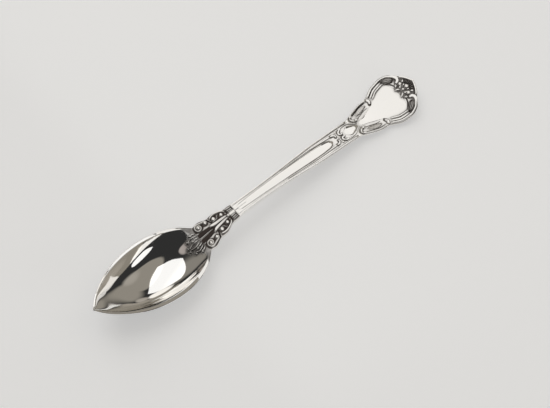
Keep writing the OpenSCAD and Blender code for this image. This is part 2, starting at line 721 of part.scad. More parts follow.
bowl();
bowl_leaf_spray();
neck();
neck_ridge_left();
neck_ridge_right();
neck_bead();
neck_lower_scroll_left();
neck_lower_scroll_right();
neck_upper_scroll_left();
neck_upper_scroll_right();
shoulder_husk_left();
shoulder_husk_right();
stem();
stem_tongue_panel();
stem_edge_rib_left();
stem_edge_rib_right();
tongue_frame_left();
tongue_frame_right();
knot_beads();
oval_panel();
oval_frame_left();
oval_frame_right();
handle_head();
shield_panel();
side_scroll_left();
side_scroll_right();
side_leaf_left();
side_leaf_right();
head_border_left();
head_border_right();
head_moulding_left();
head_moulding_right();
shoulder_shell_left();
shoulder_shell_right();
crest_rim();
crest_fan();
crest_flower();
crest_leaf_left();
crest_leaf_right();
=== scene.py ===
"""Studio scene of a silver grapefruit spoon: a deep pointed bowl and a struck, scrolled handle.

Every sub-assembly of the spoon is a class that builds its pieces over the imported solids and
dresses them. Lengths in the sizes below are in millimetres, along the spoon from the point of
the bowl (s), across it (y) and up (z); meshes are written in metres in the shared frame.
"""
import logging
import math
from dataclasses import dataclass, field, replace
from enum import Enum
from typing import Callable, Optional, Sequence

import bpy
import numpy as np
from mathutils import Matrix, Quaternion, Vector


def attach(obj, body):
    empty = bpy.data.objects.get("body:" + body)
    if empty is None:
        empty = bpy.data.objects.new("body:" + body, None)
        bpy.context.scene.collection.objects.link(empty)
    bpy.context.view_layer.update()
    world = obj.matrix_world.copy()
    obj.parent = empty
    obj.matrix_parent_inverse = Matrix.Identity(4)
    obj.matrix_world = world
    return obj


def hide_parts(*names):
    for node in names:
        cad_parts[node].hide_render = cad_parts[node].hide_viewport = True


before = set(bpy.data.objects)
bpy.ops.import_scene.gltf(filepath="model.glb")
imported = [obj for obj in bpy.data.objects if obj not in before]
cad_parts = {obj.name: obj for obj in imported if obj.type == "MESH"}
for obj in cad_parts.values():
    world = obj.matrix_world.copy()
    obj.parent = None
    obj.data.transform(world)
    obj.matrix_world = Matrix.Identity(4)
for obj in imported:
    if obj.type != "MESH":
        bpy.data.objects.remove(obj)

LOG = logging.getLogger("spoon")
MM = 0.001
CURL_POINTS_PER_TURN = 40
LEAST_PATH_POINTS = 8
KERNEL_REACHES = 3

Share = Callable[[np.ndarray], np.ndarray]
Stretch = Callable[[float], float]


class Side(Enum):
    """Which half of the spoon a struck ornament is on."""

    LEFT = "left"
    RIGHT = "right"


class Slot(Enum):
    """The record's material slots."""

    SILVER = "silver"
    STRUCK = "struck_silver"


class LampFace(Enum):
    """Shapes of a softbox's face."""

    RECTANGLE = "RECTANGLE"
    ELLIPSE = "ELLIPSE"


def even(*half: tuple) -> tuple:
    """Section that is the same on both sides, from the [side, height] shares beside its middle."""
    return tuple((-side, height) for side, height in reversed(half)) + ((0, 1),) + half


class Section(Enum):
    """Cross-sections of the struck ornament, as [side, height] shares from its right to its left."""

    ROUND = even((0.2, 0.95), (0.5, 0.6), (0.8, 0.1), (1, 0))
    PANEL = even((0.3, 0.94), (0.6, 0.78), (0.85, 0.52), (0.95, 0.25), (1, 0))
    TABLE = even((0.45, 0.985), (0.8, 0.93), (0.91, 0.74), (0.97, 0.4), (1, 0))
    CROWN = even((0.45, 0.95), (0.68, 0.81), (0.86, 0.56), (0.95, 0.3), (1, 0))
    LOW_BAND = even((0.45, 0.95), (0.8, 0.5), (1, 0))
    CUSHION = even((0.5, 0.95), (0.78, 0.72), (0.92, 0.35), (1, 0))
    SCROLL = ((-1, 0), (-0.85, 0.3), (-0.62, 0.72), (-0.4, 0.55), (-0.22, 0.5), (0.05, 0.95),
              (0.4, 1), (0.7, 0.65), (0.9, 0.15), (1, 0))
    FLUTES = ((-1, 0), (-0.86, 0.55), (-0.68, 0.8), (-0.5, 0.4), (-0.3, 0.85), (-0.12, 0.95),
              (0.05, 0.45), (0.25, 0.95), (0.42, 0.9), (0.56, 0.4), (0.74, 0.8), (0.88, 0.5), (1, 0))


def along(points: Sequence[Sequence[float]], at: np.ndarray) -> np.ndarray:
    """Reads a smooth curve that passes through points and never overshoots them.

    Args:
        points: [place, value] pairs in rising order of place.
        at: Places to read the curve at.

    Returns:
        The values there; the first and last value hold beyond the ends.
    """
    p = np.asarray(points, float)
    run = np.diff(p[:, 0])
    secant = np.diff(p[:, 1]) / run
    before, after = secant[:-1], secant[1:]
    same = before * after > 0
    inner = np.where(same, 2 * before * after / np.where(same, before + after, 1), 0)
    slope = np.concatenate([[secant[0]], inner, [secant[-1]]])
    at = np.clip(np.asarray(at, float), p[0, 0], p[-1, 0])
    i = np.clip(np.searchsorted(p[:, 0], at, side="right") - 1, 0, len(run) - 1)
    t = (at - p[i, 0]) / run[i]
    return (p[i, 1] * (1 + 2 * t) * (1 - t) ** 2 + slope[i] * run[i] * t * (1 - t) ** 2
            + p[i + 1, 1] * t * t * (3 - 2 * t) + slope[i + 1] * run[i] * t * t * (t - 1))


def softened(values: np.ndarray, step: float, reach: float, odd: bool = True) -> np.ndarray:
    """Evens out a row of samples, so that a mirror finish shows no kinks.

    Args:
        values: Samples, along the first axis.
        step: Distance between samples in mm.
        reach: Reach of the evening out in mm.
        odd: Whether the row goes on beyond its ends with the same slope.

    Returns:
        The evened samples.
    """
    n = max(2, int(KERNEL_REACHES * reach / step))
    kernel = np.exp(-0.5 * (np.arange(-n, n + 1) * step / reach) ** 2)
    kernel /= kernel.sum()
    pad = [(n, n)] + [(0, 0)] * (values.ndim - 1)
    wide = np.pad(values, pad, mode="reflect", reflect_type="odd" if odd else "even")
    total = np.zeros_like(values, dtype=float)
    for k, weight in enumerate(kernel):
        total += weight * wide[k:k + len(values)]
    return total


def eased(t: np.ndarray, run: float, least: float = 0.35) -> np.ndarray:
    """Share that falls off to a small end at both ends of a path.

    Args:
        t: Shares of the path's length.
        run: Share of the length over which an end falls off.
        least: Share that is left at the very end.

    Returns:
        Shares from least to 1.
    """
    near = np.minimum(1, np.minimum(t, 1 - t) / run)
    return least + (1 - least) * np.sin(np.pi / 2 * near)


def rounded(points: Sequence[Sequence[float]], steps: int = 8) -> np.ndarray:
    """Rounds a few given points into a smooth path.

    Args:
        points: Places [s, y] in mm.
        steps: Points for each stretch.

    Returns:
        The path's points.
    """
    p = np.asarray(points, float)
    wide = np.vstack([2 * p[0] - p[1], p, 2 * p[-1] - p[-2]])
    t = np.linspace(0, 1, steps, endpoint=False)[:, None]
    parts = []
    for i in range(len(p) - 1):
        a, b, c, d = wide[i:i + 4]
        parts.append(b + t / 2 * (c - a + t * (2 * a - 5 * b + 4 * c - d + t * (3 * (b - c) + d - a))))
    return np.vstack(parts + [p[-1:]])


def spaced(path: np.ndarray, step: float) -> np.ndarray:
    """Sets a path's points at an even distance.

    Args:
        path: Points [s, y] in mm.
        step: Distance between points in mm.

    Returns:
        The evenly spaced path, with both end points kept.
    """
    run = np.concatenate([[0], np.cumsum(np.linalg.norm(np.diff(path, axis=0), axis=1))])
    count = max(LEAST_PATH_POINTS, int(run[-1] / step))
    at = np.linspace(0, run[-1], count + 1)
    return np.column_stack([np.interp(at, run, path[:, 0]), np.interp(at, run, path[:, 1])])


def midline(first: float, last: float, count: int) -> np.ndarray:
    """Points [s, 0] of a path on the spoon's middle line, between two places in mm."""
    return np.column_stack([np.linspace(first, last, count), np.zeros(count)])


def curled(back: np.ndarray, first: Sequence[float], last: Sequence[float], eye: float = 0.28) -> np.ndarray:
    """Adds a curl at either end of a path, both turning to the right of its way.

    Args:
        back: The path between the curls.
        first: Radius in mm and turns of the curl at its start; a radius of 0 leaves it out.
        last: The same for its end.
        eye: Share of a curl's radius that is left for its eye.

    Returns:
        The whole path.
    """
    def curl(at: np.ndarray, go: np.ndarray, radius: float, turns: float, way: int) -> np.ndarray:
        """Works out one curl, from the path outwards.

        Args:
            at: Place where it leaves the path.
            go: Unit direction of the path there.
            radius: Radius in mm.
            turns: How many turns it makes.
            way: 1 for a curl at the start and -1 for one at the end.

        Returns:
            The curl's points.
        """
        centre = at - radius * np.array([-go[1], go[0]])
        start = math.atan2(go[0], -go[1])
        t = np.linspace(0, 1, int(CURL_POINTS_PER_TURN * turns))[1:]
        angle = start + way * 2 * np.pi * turns * t
        r = radius * (1 + (eye - 1) * t)
        return centre + np.column_stack([r * np.cos(angle), r * np.sin(angle)])

    parts = [back]
    if first[0]:
        go = (back[1] - back[0]) / np.linalg.norm(back[1] - back[0])
        parts.insert(0, curl(back[0], go, first[0], first[1], 1)[::-1])
    if last[0]:
        go = (back[-1] - back[-2]) / np.linalg.norm(back[-1] - back[-2])
        parts.append(curl(back[-1], go, last[0], last[1], -1))
    return np.vstack(parts)


@dataclass
class SpoonForm:
    """The plain form of the spoon under its ornament: outline, rim, hollow and underside."""

    bowl_length: float = 46.0
    neck_length: float = 15.5
    stem_length: float = 48.5
    head_length: float = 36.0
    bowl_width: float = 26.0
    neck_width: float = 11.2
    stem_width: float = 5.4
    knot_width: float = 8.3
    head_width: float = 19.5
    tip_height: float = 14.0
    heel_height: float = 6.2
    neck_height: float = 8.9
    knot_height: float = 4.5
    end_height: float = 5.7
    bowl_wall: float = 1.0
    rim_width: float = 0.75
    rim_thickness: float = 0.6
    heel_thickness: float = 2.4
    stem_thickness: float = 3.0
    knot_thickness: float = 2.0
    head_thickness: float = 1.8
    end_thickness: float = 1.3
    worn: float = 0.12
    belly: float = 2.2
    front_belly: float = 2.3
    back_belly: float = 2.0
    sample: float = 0.05
    calm_reach: float = 1.1
    crisp_reach: float = 0.22
    crisp_start: float = 38.0
    crisp_run: float = 4.0
    height_reach: float = 1.0
    hollow_reach: float = 0.5
    least_hollow: float = 0.02
    least_hollow_share: float = 0.3
    bowl_rest_share: float = 0.58
    head_rest_share: float = 0.55
    heel_start_share: float = 0.76
    heel_run_share: float = 0.23
    edge_share: float = 0.5
    thin_edge_share: float = 0.55
    bowl_outline: tuple = ((0, 0), (0.033, 0.16), (0.087, 0.35), (0.175, 0.565), (0.28, 0.765), (0.39, 0.9),
                           (0.5, 0.978), (0.61, 1), (0.72, 0.958), (0.83, 0.85), (0.92, 0.69))
    neck_outline: tuple = ((0, 1.04), (0.04, 0.95), (0.16, 1), (0.39, 0.79), (0.54, 0.8))
    neck_end_outline: tuple = ((0.81, 1.12), (0.9, 1.12), (1, 1.04))
    stem_swell: tuple = ((0.175, 0), (0.38, 0.16), (0.59, 0.55), (0.79, 0.93), (1, 1))
    head_outline: tuple = ((0.167, 0.43), (0.306, 0.575), (0.417, 0.687), (0.49, 0.7), (0.54, 0.775),
                           (0.64, 0.95), (0.75, 1), (0.833, 0.905), (0.89, 0.665), (0.905, 0.59),
                           (0.944, 0.435), (0.98, 0.2), (1, 0))
    rim_rise: tuple = ((0, 1), (0.26, 0.59), (0.54, 0.28), (0.83, 0.08), (1, 0))
    hollow_depth: tuple = ((0, 0.26), (3, 0.38), (8, 0.66), (15, 0.88), (22, 0.92), (46, 0.92))
    dish: tuple = (0.35, 0.65)
    tables: dict = field(default_factory=dict, init=False, repr=False)

    def __post_init__(self) -> None:
        """Works out the evened curves along the spoon."""
        self.neck_start = self.bowl_length
        self.stem_start = self.neck_start + self.neck_length
        self.knot_at = self.stem_start + self.stem_length
        self.length = self.knot_at + self.head_length
        self.places = np.arange(0, self.length + self.sample / 2, self.sample)
        width = self._widths()
        slope = np.gradient(width, self.sample)
        top, thick = self._heights()
        self.tables = {"width": width, "top": top, "thick": thick, "slope": slope,
                       "edge": np.minimum(self._edges(), thick), "depth": self._depths(thick),
                       "hollow": self._hollows(width, slope)}

    def _widths(self) -> np.ndarray:
        """Works out half of the outline's width, calm in the bowl and crisp in the handle.

        Returns:
            The half-widths at the sampled places, in mm.
        """
        swell = self.knot_width - self.stem_width
        outline = ([(q[0] * self.bowl_length, q[1] * self.bowl_width / 2) for q in self.bowl_outline]
                   + [(self.neck_at(q[0]), q[1] * self.neck_width / 2) for q in self.neck_outline]
                   + [(self.neck_at(q[0]), q[1] * self.stem_width / 2) for q in self.neck_end_outline]
                   + [(self.stem_at(q[0]), (self.stem_width + swell * q[1]) / 2) for q in self.stem_swell]
                   + [(self.head_at(q[0]), q[1] * self.head_width / 2) for q in self.head_outline])
        raw = along(outline, self.places)
        calm = softened(raw, self.sample, self.calm_reach)
        crisp = softened(raw, self.sample, self.crisp_reach)
        blend = np.clip((self.places - self.crisp_start) / self.crisp_run, 0, 1)
        width = calm * (1 - blend) + crisp * blend
        width[0], width[-1] = 0, 0
        return width

    def _heights(self) -> tuple[np.ndarray, np.ndarray]:
        """Works out the top face and the thickness on the middle line.

        Returns:
            Heights of the rim or top face, and thicknesses, in mm.
        """
        s = self.places
        head_rest = self.knot_at + self.head_rest_share * self.head_length
        stations = ((self.neck_start, self.heel_height, self.heel_thickness),
                    (self.stem_start, self.neck_height, self.stem_thickness),
                    (self.knot_at, self.knot_height, self.knot_thickness),
                    (head_rest, self.head_thickness, self.head_thickness),
                    (self.length, self.end_height, self.end_thickness))
        under = along([(at, height - thick) for at, height, thick in stations], s)
        thick = along([(at, thick) for at, _, thick in stations], s)
        rise = self.tip_height - self.heel_height
        rim = along([(q[0] * self.bowl_length, self.heel_height + rise * q[1]) for q in self.rim_rise], s)
        rest = self.bowl_rest_share * self.bowl_length
        front = self.tip_height - self.rim_thickness + self.worn
        back = self.heel_height - self.heel_thickness + self.worn
        belly_front = front * np.clip(1 - s / rest, 0, 1) ** self.front_belly - self.worn
        behind = np.clip((s - rest) / (self.bowl_length - rest), 0, 1)
        belly_back = back * behind ** self.back_belly - self.worn
        in_bowl = s < self.neck_start
        top = softened(np.where(in_bowl, rim, under + thick), self.sample, self.height_reach)
        return top, np.where(in_bowl, top - np.where(s < rest, belly_front, belly_back), thick)

    def _edges(self) -> np.ndarray:
        """Works out how thick the outline's edge is.

        Returns:
            Thicknesses at the sampled places, in mm.
        """
        return along([(0, self.rim_thickness), (self.heel_start_share * self.bowl_length, self.rim_thickness),
                      (self.neck_start, self.edge_share * self.heel_thickness),
                      (self.stem_start, self.edge_share * self.stem_thickness),
                      (self.knot_at, self.thin_edge_share * self.knot_thickness),
                      (self.length, self.thin_edge_share * self.end_thickness)], self.places)

    def _depths(self, thick: np.ndarray) -> np.ndarray:
        """Works out how deep the bowl is on its middle line.

        Args:
            thick: Distance from the rim to the underside, in mm.

        Returns:
            Depths at the sampled places, in mm, and 0 in the handle.
        """
        s = self.places
        rise = np.clip((s / self.bowl_length - self.heel_start_share) / self.heel_run_share, 0, 1)
        depth = thick * thick / (thick + self.bowl_wall) * np.sqrt(1 - rise * rise)
        depth = np.where(s < self.neck_start, depth, 0) * along(self.hollow_depth, s)
        return np.maximum(softened(depth, self.sample, self.height_reach), 0)

    def _hollows(self, width: np.ndarray, slope: np.ndarray) -> np.ndarray:
        """Works out half of the hollow's width inside the rim.

        Args:
            width: Half-widths of the outline in mm.
            slope: How fast they grow along the spoon.

        Returns:
            Half-widths of the hollow in mm.
        """
        hollow = np.maximum(self.least_hollow_share * width,
                            width - self.rim_width * np.sqrt(1 + slope * slope))
        return np.clip(softened(hollow, self.sample, self.hollow_reach), self.least_hollow, None)

    def neck_at(self, share: float) -> float:
        """Place along the spoon of a share of the neck's length."""
        return self.bowl_length + share * self.neck_length

    def stem_at(self, share: float) -> float:
        """Place along the spoon of a share of the stem's length."""
        return self.bowl_length + self.neck_length + share * self.stem_length

    def head_at(self, share: float) -> float:
        """Place along the spoon of a share of the head's length."""
        return self.bowl_length + self.neck_length + self.stem_length + share * self.head_length

    def read(self, name: str, s: np.ndarray) -> np.ndarray:
        """Values in mm of one of the evened curves, at places along the spoon."""
        return np.interp(s, self.places, self.tables[name])

    def half_width(self, s: np.ndarray) -> np.ndarray:
        """Half of the outline's width at places along the spoon."""
        return self.read("width", s)

    def inside(self, s: np.ndarray, inset: float) -> np.ndarray:
        """Places at a distance inside the outline.

        Args:
            s: Places along the spoon in mm.
            inset: Distance from the outline in mm.

        Returns:
            Points [s, y].
        """
        s = np.asarray(s, float)
        k = self.read("slope", s)
        stretch = np.sqrt(1 + k * k)
        return np.column_stack([s + inset * k / stretch, self.half_width(s) - inset / stretch])

    def rail(self, first: float, last: float, count: int, inset: float) -> np.ndarray:
        """Path of count points between two places in mm, at a distance inside the outline."""
        return self.inside(np.linspace(first, last, count), inset)

    def on(self, at: Stretch, shares: Sequence[Sequence[float]]) -> np.ndarray:
        """Places [s, y] in mm from shares of a stretch's length and of the half-width there."""
        return np.array([(at(a), b * float(self.half_width(at(a)))) for a, b in shares])

    def path(self, at: Stretch, shares: Sequence[Sequence[float]]) -> np.ndarray:
        """Smooth path through places that are given as shares."""
        return rounded(self.on(at, shares))

    def top(self, s: np.ndarray, y: np.ndarray) -> np.ndarray:
        """Height of the plain top face of the handle; y is there so that all grounds read alike."""
        return self.read("top", s) + 0 * y

    def floor(self, s: np.ndarray, y: np.ndarray) -> np.ndarray:
        """Height of the bowl's floor at places along and across the spoon."""
        side = np.minimum(1, np.abs(y) / self.read("hollow", s))
        return self.read("top", s) - self.read("depth", s) * self.dished(side)

    def dished(self, side: np.ndarray) -> np.ndarray:
        """Share of the hollow's depth that is left at a share of its half-width."""
        return 1 - self.dish[0] * side ** 2 - self.dish[1] * side ** 4

    def under(self, s: np.ndarray, share: np.ndarray) -> np.ndarray:
        """Height of the underside at a share of the half-width.

        Args:
            s: Places along the spoon in mm.
            share: Shares of the half-width.

        Returns:
            Heights in mm, never below the table.
        """
        edge, thick = self.read("edge", s), self.read("thick", s)
        z = self.read("top", s) - edge - (thick - edge) * (1 - np.abs(share) ** self.belly)
        return np.maximum(z, 0)


@dataclass
class Ornament:
    """One struck form that follows a path over its ground."""

    path: np.ndarray
    width: Share
    height: Share
    section: Section = Section.ROUND
    hatch: float = 0.0
    hatch_count: float = 0.0
    hatch_slant: float = 0.0
    step: float = 0.1
    across: int = 17
    bend_step: float = 1.0
    bend_reach: float = 1.5
    least_bend: float = 1e-3
    least_pace: float = 1e-6
    inner_share: float = 0.92

    def points(self) -> tuple[np.ndarray, np.ndarray, np.ndarray]:
        """Works out the form over a flat ground; inside a bend it stays short of the bend's middle.

        Returns:
            Places s, places y and heights h, each a table of rows along the path.
        """
        path = spaced(self.path, self.step)
        t = np.linspace(0, 1, len(path))
        go = np.gradient(path, axis=0)
        go /= np.linalg.norm(go, axis=1)[:, None]
        turn = np.gradient(np.unwrap(np.arctan2(go[:, 1], go[:, 0])))
        pace = np.linalg.norm(np.gradient(path, axis=0), axis=1)
        bend = softened(turn / np.maximum(pace, self.least_pace), self.bend_step, self.bend_reach)
        left = np.column_stack([-go[:, 1], go[:, 0]])
        u = np.linspace(-1, 1, self.across)
        half = np.broadcast_to(self.width(t) / 2, t.shape)[:, None] * np.ones_like(u)
        radius = self.inner_share / np.maximum(np.abs(bend), self.least_bend)[:, None]
        inner = np.sign(u)[None, :] * np.sign(bend)[:, None] > 0
        half = np.where(inner, np.minimum(half, radius), half)
        place = path[:, None, :] + left[:, None, :] * (u[None, :] * half)[:, :, None]
        height = np.broadcast_to(self.height(t), t.shape)[:, None] * along(self.section.value, u)[None, :]
        if self.hatch:
            wave = np.cos(2 * np.pi * (self.hatch_count * t[:, None] + self.hatch_slant * u[None, :]))
            height = height * (1 - self.hatch * (0.5 - 0.5 * wave))
        return place[:, :, 0], place[:, :, 1], height


@dataclass(frozen=True)
class Swell:
    """Growth of a strip: its start and run as shares of the path (below 0 backwards), and gain in mm."""

    start: float
    run: float
    gain: float

    def at(self, t: np.ndarray) -> np.ndarray:
        """Growth in mm at shares of the path's length."""
        return self.gain * np.clip((t - self.start) / self.run, 0, 1)


@dataclass(frozen=True)
class Strip:
    """Sizes of a struck strip, in mm, with the run and the least share of its falling ends."""

    width: float
    height: float
    section: Section = Section.CUSHION
    width_ends: tuple = (0.2,)
    height_ends: tuple = (0.2,)
    taper: float = 0.0
    swells: tuple = ()
    hatch: tuple = (0.0, 0.0, 0.0)
    step: float = 0.06
    across: int = 17

    def widths(self, t: np.ndarray) -> np.ndarray:
        """Widths in mm at shares of the path's length."""
        full = self.width + sum(swell.at(t) for swell in self.swells)
        return full * (1 - self.taper * t) * eased(t, *self.width_ends)

    def heights(self, t: np.ndarray) -> np.ndarray:
        """Heights in mm at shares of the path's length."""
        return self.height * (1 - self.taper * t) * eased(t, *self.height_ends)

    def laid(self, path: np.ndarray, widths: Optional[Share] = None) -> Ornament:
        """The strip along a path, with its own widths or with others."""
        return Ornament(path, widths or self.widths, self.heights, self.section, *self.hatch,
                        step=self.step, across=self.across)


def bead(at: Sequence[float], radius: float, height: float) -> Ornament:
    """Makes a round bead.

    Args:
        at: Place [s, y] of its middle in mm.
        radius: Radius in mm.
        height: Height in mm.

    Returns:
        The struck form.
    """
    reach, full, blunt = 1.2 * radius, 2.25 * radius, 0.4
    width_cut, height_cut = 0.04, 0.03
    path = np.array([(at[0] - reach, at[1]), (at[0] + reach, at[1])])
    return Ornament(path, lambda t: full * np.sin(np.pi * (width_cut + (1 - 2 * width_cut) * t)),
                    lambda t: height * np.sin(np.pi * (height_cut + (1 - 2 * height_cut) * t)) ** blunt,
                    Section.TABLE, step=0.05)


def crowded(count: int, share: float) -> np.ndarray:
    """Shares from 1 to -1 that lie closer towards both ends, the more so the nearer share is to 1."""
    quarter = np.pi / 2 * share
    return (np.sin(quarter * np.linspace(1, -1, count)) / math.sin(quarter))[None, :]


def walls(rings: np.ndarray) -> list:
    """Works out the faces between neighbouring rings.

    Args:
        rings: Table of point numbers, a row for each ring.

    Returns:
        The point numbers of each face.
    """
    following = np.roll(rings, -1, axis=1)
    quads = np.stack([rings[:-1], rings[1:], following[1:], following[:-1]], axis=-1)
    return [tuple(face) for face in quads.reshape(-1, 4).tolist()]


def eye_of(at: np.ndarray, before: np.ndarray, after: np.ndarray, radius: float) -> np.ndarray:
    """Middle of a curl at a path's end, for a path that goes from one point to another there."""
    go = (after - before) / np.linalg.norm(after - before)
    return at - radius * np.array([-go[1], go[0]])


def finer(table: np.ndarray, times: int) -> np.ndarray:
    """Adds rows to a table, worked out between its own.

    Args:
        table: The table.
        times: How many rows each stretch between two rows becomes.

    Returns:
        The finer table.
    """
    place = np.linspace(0, len(table) - 1, (len(table) - 1) * times + 1)
    low = np.minimum(place.astype(int), len(table) - 2)
    share = (place - low)[:, None]
    return table[low] * (1 - share) + table[low + 1] * share


@dataclass(frozen=True)
class Shadow:
    """Darkening by what is around a place: its reach, the depth in mm where it is full, and its weight."""

    reach: float
    full_depth: float
    weight: float


@dataclass
class Relief:
    """Map of the struck face of the handle, which gives grooves, and the patina and painted shade of its
    recesses.

    It lies over the left half of the handle and the heel of the bowl.
    """

    form: SpoonForm
    step: float = 0.06
    first: float = 38.0
    beyond_tip: float = 0.6
    half_reach: float = 10.8
    along_fine: int = 3
    across_fine: int = 6
    groove_step: float = 1.5
    fall: float = 0.98
    shadows: tuple = (Shadow(0.32, 0.11, 0.75), Shadow(0.9, 0.22, 0.55))
    recess_reach: float = 0.07
    line_reach: float = 0.04
    line_depth: float = 0.13
    line_power: float = 1.5
    sunk_reach: float = 0.05
    margin: float = 1.001

    def __post_init__(self) -> None:
        """Starts an empty map."""
        self.s = np.arange(self.first, self.form.length + self.beyond_tip, self.step)
        self.y = np.arange(0, self.half_reach, self.step)
        self.raised, self.sunk, self.recess, self.lines = np.zeros((4, len(self.s), len(self.y)))

    def stamp(self, ornament: Ornament) -> None:
        """Marks the heights of an ornament on the map.

        Args:
            ornament: The struck form, on the left side or on the middle line.
        """
        fine = [finer(finer(table, self.along_fine).T, self.across_fine).T for table in ornament.points()]
        i = np.rint((fine[0] - self.first) / self.step).astype(int).ravel()
        j = np.rint(np.abs(fine[1]) / self.step).astype(int).ravel()
        good = (i >= 0) & (i < len(self.s)) & (j >= 0) & (j < len(self.y))
        np.maximum.at(self.raised, (i[good], j[good]), fine[2].ravel()[good])

    def groove(self, path: np.ndarray, width: float, depth: float) -> None:
        """Cuts a groove along a path.

        Args:
            path: Points [s, y] in mm.
            width: Width in mm.
            depth: Depth in mm.
        """
        reach = int(width / self.step) + 2
        for a, b in spaced(path, self.step * self.groove_step):
            i, j = int((a - self.first) / self.step), int(abs(b) / self.step)
            si = slice(max(i - reach, 0), min(i + reach + 1, len(self.s)))
            sj = slice(max(j - reach, 0), min(j + reach + 1, len(self.y)))
            if si.start >= si.stop or sj.start >= sj.stop:
                continue
            away = np.hypot(self.s[si, None] - a, self.y[None, sj] - abs(b)) / (width / 2)
            cut = -depth * np.where(away < 1, 0.5 + 0.5 * np.cos(np.pi * np.minimum(away, 1)), 0)
            self.sunk[si, sj] = np.minimum(self.sunk[si, sj], cut)

    def spread(self, values: np.ndarray, reach: float) -> np.ndarray:
        """The map evened out along and across."""
        once = softened(values, self.step, reach, odd=False)
        return softened(once.T, self.step, reach, odd=False).T

    def settle(self) -> None:
        """Works out the patina and painted shade of each place, from how far it lies below what is around it.
        """
        closed = self.raised.copy()
        for axis in (0, 1):
            for shift in (-1, 1):
                closed = np.maximum(closed, np.roll(self.raised, shift, axis=axis) * self.fall)
        surface = closed + self.sunk
        # Painted shade with patina: places lying below their surroundings darken.
        for shadow in self.shadows:
            below = self.spread(surface, shadow.reach) - surface
            self.recess += np.clip(below / shadow.full_depth, 0, 1) * shadow.weight
        self.recess = np.clip(self.spread(self.recess, self.recess_reach), 0, 1)
        # Groove lines darken too, with patina and painted shade.
        lines = np.clip(self.spread(-self.sunk, self.line_reach) / self.line_depth, 0, 1)
        self.lines = lines ** self.line_power
        self.sunk = self.spread(self.sunk, self.sunk_reach)

    def read(self, table: np.ndarray, s: np.ndarray, y: np.ndarray) -> np.ndarray:
        """Reads a map between its cells.

        Args:
            table: One of this map's tables.
            s: Places along the spoon in mm.
            y: Places across it in mm.

        Returns:
            The values there, and 0 outside the map.
        """
        last_s, last_y = len(self.s) - self.margin, len(self.y) - self.margin
        a = (np.asarray(s) - self.first) / self.step
        b = np.abs(np.asarray(y)) / self.step
        outside = (a < 0) | (a > last_s) | (b > last_y)
        a, b = np.clip(a, 0, last_s), np.clip(b, 0, last_y)
        i, j = a.astype(int), b.astype(int)
        u, v = a - i, b - j
        value = (table[i, j] * (1 - u) * (1 - v) + table[i + 1, j] * u * (1 - v)
                 + table[i, j + 1] * (1 - u) * v + table[i + 1, j + 1] * u * v)
        return np.where(outside, 0, value)


@dataclass(frozen=True)
class Cut:
    """A groove through shares of a stretch's length and half-width, with its width and depth in mm."""

    shares: tuple
    width: float
    depth: float
    smooth: bool = False

    def carve(self, relief: Relief, at: Stretch) -> None:
        """Cuts the groove in a stretch of the handle."""
        path = relief.form.on(at, self.shares)
        relief.groove(rounded(path) if self.smooth else path, self.width, self.depth)


@dataclass(frozen=True)
class EdgeCut:
    """A groove along the outline: the shares of its ends, and its inset, width and depth in mm."""

    first: float
    last: float
    inset: float
    width: float
    depth: float
    count: int = 90

    def carve(self, relief: Relief, at: Stretch) -> None:
        """Cuts the groove in a stretch of the handle."""
        path = relief.form.rail(at(self.first), at(self.last), self.count, self.inset)
        relief.groove(path, self.width, self.depth)


@dataclass(frozen=True)
class Grain:
    """A noise over an object's own coordinates: its stretch along the axes, scale and detail."""

    stretch: tuple
    scale: float
    detail: float


class NodeBoard:
    """Adds and joins the nodes of one material or of the world."""

    def __init__(self, tree: bpy.types.NodeTree) -> None:
        """Clears the tree of its nodes.

        Args:
            tree: The node tree to fill.
        """
        self.tree = tree
        tree.nodes.clear()

    @classmethod
    def of_material(cls, name: str) -> tuple[bpy.types.Material, "NodeBoard"]:
        """Makes an empty material.

        Args:
            name: Name of the material.

        Returns:
            The material and its board.
        """
        mat = bpy.data.materials.new(name)
        mat.use_nodes = True
        return mat, cls(mat.node_tree)

    def add(self, kind: str, inputs: Optional[dict] = None, **settings: object) -> bpy.types.Node:
        """Adds a node.

        Args:
            kind: Name of the node's type after "ShaderNode".
            inputs: A constant, or a socket to join, for each input.
            settings: The node's own settings.

        Returns:
            The node.
        """
        node = self.tree.nodes.new("ShaderNode" + kind)
        for name, value in settings.items():
            setattr(node, name, value)
        for key, value in (inputs or {}).items():
            if isinstance(value, bpy.types.NodeSocket):
                self.tree.links.new(value, node.inputs[key])
            else:
                node.inputs[key].default_value = value
        return node

    def math(self, kind: str, *values: object, clamp: bool = False) -> bpy.types.NodeSocket:
        """Result of a math step on sockets and numbers."""
        return self.add("Math", dict(enumerate(values)), operation=kind, use_clamp=clamp).outputs[0]

    def noise(self, place: bpy.types.NodeSocket, grain: Grain) -> bpy.types.NodeSocket:
        """Adds a noise.

        Args:
            place: The coordinates.
            grain: Sizes of the noise.

        Returns:
            Its values.
        """
        mapping = self.add("Mapping", {"Vector": place, "Scale": grain.stretch})
        noise = self.add("TexNoise", {"Vector": mapping.outputs["Vector"], "Scale": grain.scale,
                                      "Detail": grain.detail})
        return noise.outputs[0]

    def ramp(self, source: bpy.types.NodeSocket, low: float, high: float, ends: tuple = (0.0, 1.0),
             kind: str = "LINEAR") -> bpy.types.NodeSocket:
        """Spreads values from one range to another.

        Args:
            source: The values.
            low: Value that becomes the first end.
            high: Value that becomes the last end.
            ends: The new range.
            kind: How it runs between the ends.

        Returns:
            The new values.
        """
        node = self.add("MapRange", {"Value": source, "From Min": low, "From Max": high,
                                     "To Min": ends[0], "To Max": ends[1]}, interpolation_type=kind)
        return node.outputs["Result"]

    def mix(self, share: bpy.types.NodeSocket, first: object, second: object) -> bpy.types.NodeSocket:
        """Colour between two colours, each a constant or a socket."""
        return self.add("Mix", {"Factor": share, "A": first, "B": second}, data_type="RGBA").outputs["Result"]


